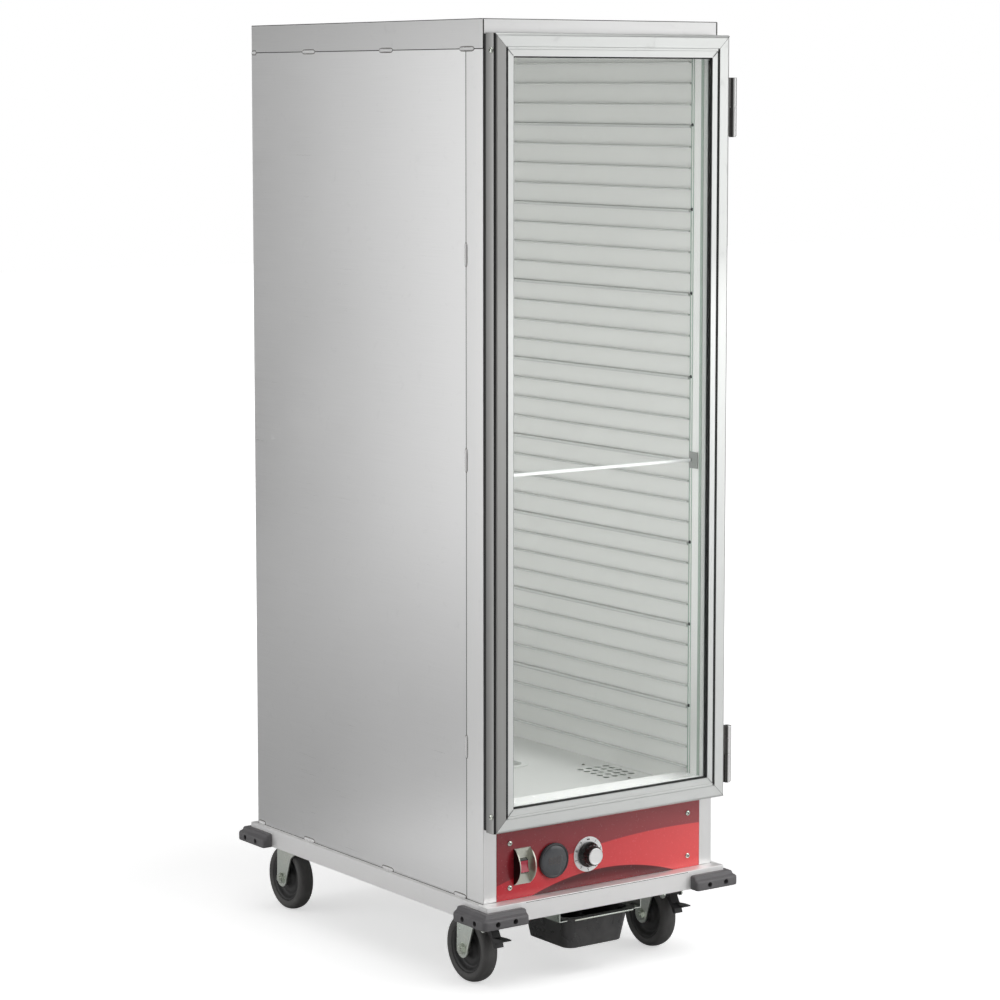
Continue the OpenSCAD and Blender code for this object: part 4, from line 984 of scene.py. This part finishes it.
# The stiles' colour holds painted shade on the left stile's outer land and on the door's free edge.
door_metal = rolled("door_extrusion", shaded_free_edge, 0.38, lines=(1500, 1500, 9), clouding=0.02,
    metallic=0.85, relief=0.00001)
rail_metal = rolled("rail_extrusion", (0.77, 0.785, 0.77, 1), 0.38, lines=(9, 1500, 1500),
    clouding=0.03, metallic=0.9, relief=0.00001)
seal_rubber = moulded("seal_rubber", (0.010, 0.010, 0.010, 1), 0.6, grain=800.0, dust=0.02,
    relief=0.00003)
dress(door_metal, 0.0006, "door_left_stile", "door_right_stile")
dress(rail_metal, 0.0006, "door_top_rail", "door_bottom_rail")
pane_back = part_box("door_pane")[1].y


def black_before_pane(tree):
    """Black rubber in front of the pane, and pale grey behind it, which is painted light."""
    split = axes_in(tree)
    lit_behind = ramp(tree, split["Y"], pane_back - 0.0005, pane_back)
    return mixed(tree, lit_behind, (0.006, 0.006, 0.006, 1), (0.85, 0.86, 0.85, 1))


# The seal's part behind the pane is painted light, pale grey instead of black rubber.
glazing_rubber = moulded("glazing_rubber", black_before_pane, 0.5, grain=800.0, dust=0.02,
    relief=0.00003)
dress(seal_rubber, 0.0005, "door_seal")
dress(glazing_rubber, 0.0005, "glazing_seal")

clear = bpy.data.materials.new("clear_pane")
clear.use_nodes = True
clear_tree = clear.node_tree
clear_shader = clear_tree.nodes["Principled BSDF"]
clear_place = place_in(clear_tree)
smear = add(clear_tree, "ShaderNodeTexNoise", {"Vector": clear_place, "Scale": 5.0, "Detail": 4.0})
tint = add(clear_tree, "ShaderNodeMix", {0: smear.outputs["Fac"], 6: (0.955, 0.966, 0.958, 1),
    7: (0.975, 0.982, 0.976, 1)}, data_type="RGBA")
clear_tree.links.new(tint.outputs[2], clear_shader.inputs["Base Color"])
clear_tree.links.new(scaled(clear_tree, smear.outputs["Fac"], 0.0, 0.02),
    clear_shader.inputs["Roughness"])
clear_shader.inputs["Transmission Weight"].default_value = 1.0
clear_shader.inputs["IOR"].default_value = 1.12
let_light_in = add(clear_tree, "ShaderNodeBsdfTransparent", {"Color": (0.93, 0.95, 0.94, 1)})
clear_path = add(clear_tree, "ShaderNodeLightPath").outputs
direct_or_soft = calc(clear_tree, clear_path["Is Shadow Ray"], clear_path["Is Diffuse Ray"], "MAXIMUM")
clear_mix = add(clear_tree, "ShaderNodeMixShader", {0: direct_or_soft, 1: clear_shader.outputs[0],
    2: let_light_in.outputs[0]})
clear_tree.links.new(clear_mix.outputs[0], clear_tree.nodes["Material Output"].inputs["Surface"])
dress(clear, 0.0, "door_pane")

right_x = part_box("door_right_stile")[1].x
bar_w = stile_high.x - stile_low.x
land, groove, slack = 0.0235, 0.0050, 0.0002
door_y = stile_low.y
groove_floor = door_y + 0.0042
black_lines = bmesh.new()
for outer, inward in ((stile_low.x, 1), (right_x, -1)):
    slab(black_lines, (outer + inward * (land + slack), door_y + slack, stile_low.z + land + 0.002),
        (outer + inward * (land + groove - slack), groove_floor, stile_high.z - land - 0.002), 0.0004)
new_piece("stile_groove_strips", black_lines, seal_rubber, "door", smooth=False)

corner_strip = bmesh.new()
corner_r, proud_r, arc_start, arc_sweep = 0.0060, 0.0003, 198, 40
rings = []
for z in (stile_low.z + 0.001, stile_high.z - 0.001):
    ring = []
    outside, inside = range(arc_steps + 1), reversed(range(arc_steps + 1))
    for radius, steps in ((corner_r + proud_r, outside), (corner_r - 0.0012, inside)):
        for step in steps:
            angle = math.radians(arc_start + arc_sweep * step / arc_steps)
            ring.append(corner_strip.verts.new((stile_low.x + corner_r + radius * math.cos(angle),
                door_y + corner_r + radius * math.sin(angle), z)))
    rings.append(ring)
skin(corner_strip, rings)
corner_strip.faces.new(rings[0])
corner_strip.faces.new(rings[1])
strip = new_piece("stile_corner_strip", corner_strip, seal_rubber, "door")
smooth_by_angle(strip)

rail_fill = bmesh.new()
for z, way in ((stile_high.z, -1), (stile_low.z, 1)):
    slab(rail_fill, (stile_low.x + land + 0.004, door_y + 0.0003, z + way * (land + 0.0003)),
        (right_x - land - 0.004, groove_floor, z + way * (land + groove - 0.0003)), 0.0005)
new_piece("rail_groove_strips", rail_fill, rail_metal, "door", smooth=False)

mitres = bmesh.new()
for x, way_x in ((stile_low.x, 1), (right_x, -1)):
    for z, way_z in ((stile_low.z, 1), (stile_high.z, -1)):
        wide, start, end = 0.0004, 0.002, bar_w - 0.001
        corner = []
        for y in (door_y - 0.00015, door_y + 0.0006):
            for along, aside in ((start, wide), (start, -wide), (end, -wide), (end, wide)):
                corner.append(mitres.verts.new((x + way_x * (along + aside / 2), y,
                    z + way_z * (along - aside / 2))))
        for one in ((0, 1, 2, 3), (7, 6, 5, 4), (0, 4, 5, 1), (1, 5, 6, 2), (2, 6, 7, 3), (3, 7, 4, 0)):
            mitres.faces.new([corner[i] for i in one])
joint_grey = moulded("joint_grey", (0.20, 0.20, 0.195, 1), 0.6)
new_piece("mitre_joints", mitres, joint_grey, "door", smooth=False)

edge_screws, edge_recesses = bmesh.new(), bmesh.new()
for low, high in solids_of("door_screws"):
    middle = (low + high) / 2
    cross_screw(edge_screws, edge_recesses, (high.x, middle.y, middle.z), (1, 0, 0), 1.3)
new_piece("edge_screws", edge_screws, bolt_zinc, "door", ("door_screws",))
new_piece("edge_screw_recesses", edge_recesses, hole_shade_black, "door", smooth=False)


# ---------- Hinges ----------
# Two lift-off hinges whose colour is a painted reflection, near black towards the door and bright
# outside.
# The barrels stand clear of the door's edge, and grey backing plates behind the post's front take the
# screws.

pins_low, pins_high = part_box("hinge_pins")
barrel = (pins_low + pins_high) / 2


def half_bright(tree):
    """Painted reflection: dark towards the door and bright on the barrel's outer side, past its middle
    along a fixed direction.
    """
    place = place_in(tree)
    bright_reflection_way = Vector((0.80, -0.58, 0))
    across = add(tree, "ShaderNodeVectorMath", {0: place, 1: bright_reflection_way},
        operation="DOT_PRODUCT").outputs["Value"]
    middle = barrel.dot(bright_reflection_way)
    outer = ramp(tree, across, middle + 0.0002, middle + 0.0018)
    return mixed(tree, outer, (0.055, 0.052, 0.048, 1), (0.86, 0.86, 0.85, 1))


# The hinges' colour is a painted reflection: the barrels' outer half is painted bright, and the half
# towards the door near black.
hinge_painted_reflection = moulded("hinge_painted_reflection", half_bright, 0.24, grain=500.0, dust=0.02, metallic=0.5,
    relief=0.00003, Coat_Weight=0.8, Coat_Roughness=0.15)
dress(hinge_painted_reflection, 0.0009, "hinge_frame_leaves", "hinge_door_leaves")
dress(hinge_painted_reflection, 0.0004, "hinge_pins")
backing = bmesh.new()
for low, high in solids_of("hinge_pins"):
    slab(backing, (post_low.x + 0.0020, post_low.y - 0.0016, low.z + 0.002),
        (post_low.x + 0.0105, post_low.y - 0.0001, high.z + 0.001), 0.0005)
new_piece("hinge_backing_plates", backing, dull_steel, "cabinet")


# ---------- Drip pan ----------
# A black moulded pan on two zinc angle runners under the front of the base. It slides out forwards to
# be emptied.

pan_plastic = moulded("pan_plastic", (0.050, 0.049, 0.049, 1), 0.28, grain=500.0, dust=0.08,
    relief=0.00004, Coat_Weight=0.2)
dress(pan_plastic, 0.0008, "drip_pan")
drip_low, drip_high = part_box("drip_pan")
# A thin bright zinc strip along the pan's front rim is a painted highlight of the rim.
rim_highlight, rim_highlight_inset = bmesh.new(), 0.022
slab(rim_highlight, (drip_low.x + rim_highlight_inset, drip_low.y - 0.0006, drip_high.z - 0.0022),
    (drip_high.x - rim_highlight_inset, drip_low.y + 0.0010, drip_high.z + 0.0002), 0.0005)
new_piece("drip_pan_rim_highlight", rim_highlight, bolt_zinc, "drip_tray")
dress(zinc, 0.0004, "drip_pan_hanger")


# ---------- Cord inlet ----------
# A black bushing in the back panel, pushed into a punched hole low down. Its edges are rounded as
# a moulding's are, and no lead is made.

dress(black_moulding, 0.0012, "cord_bushing")


# ---------- Sizes of this build -------------------------
# The CAD part's box and the visual model's, each as its lowest and highest corner in metres.

low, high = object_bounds()
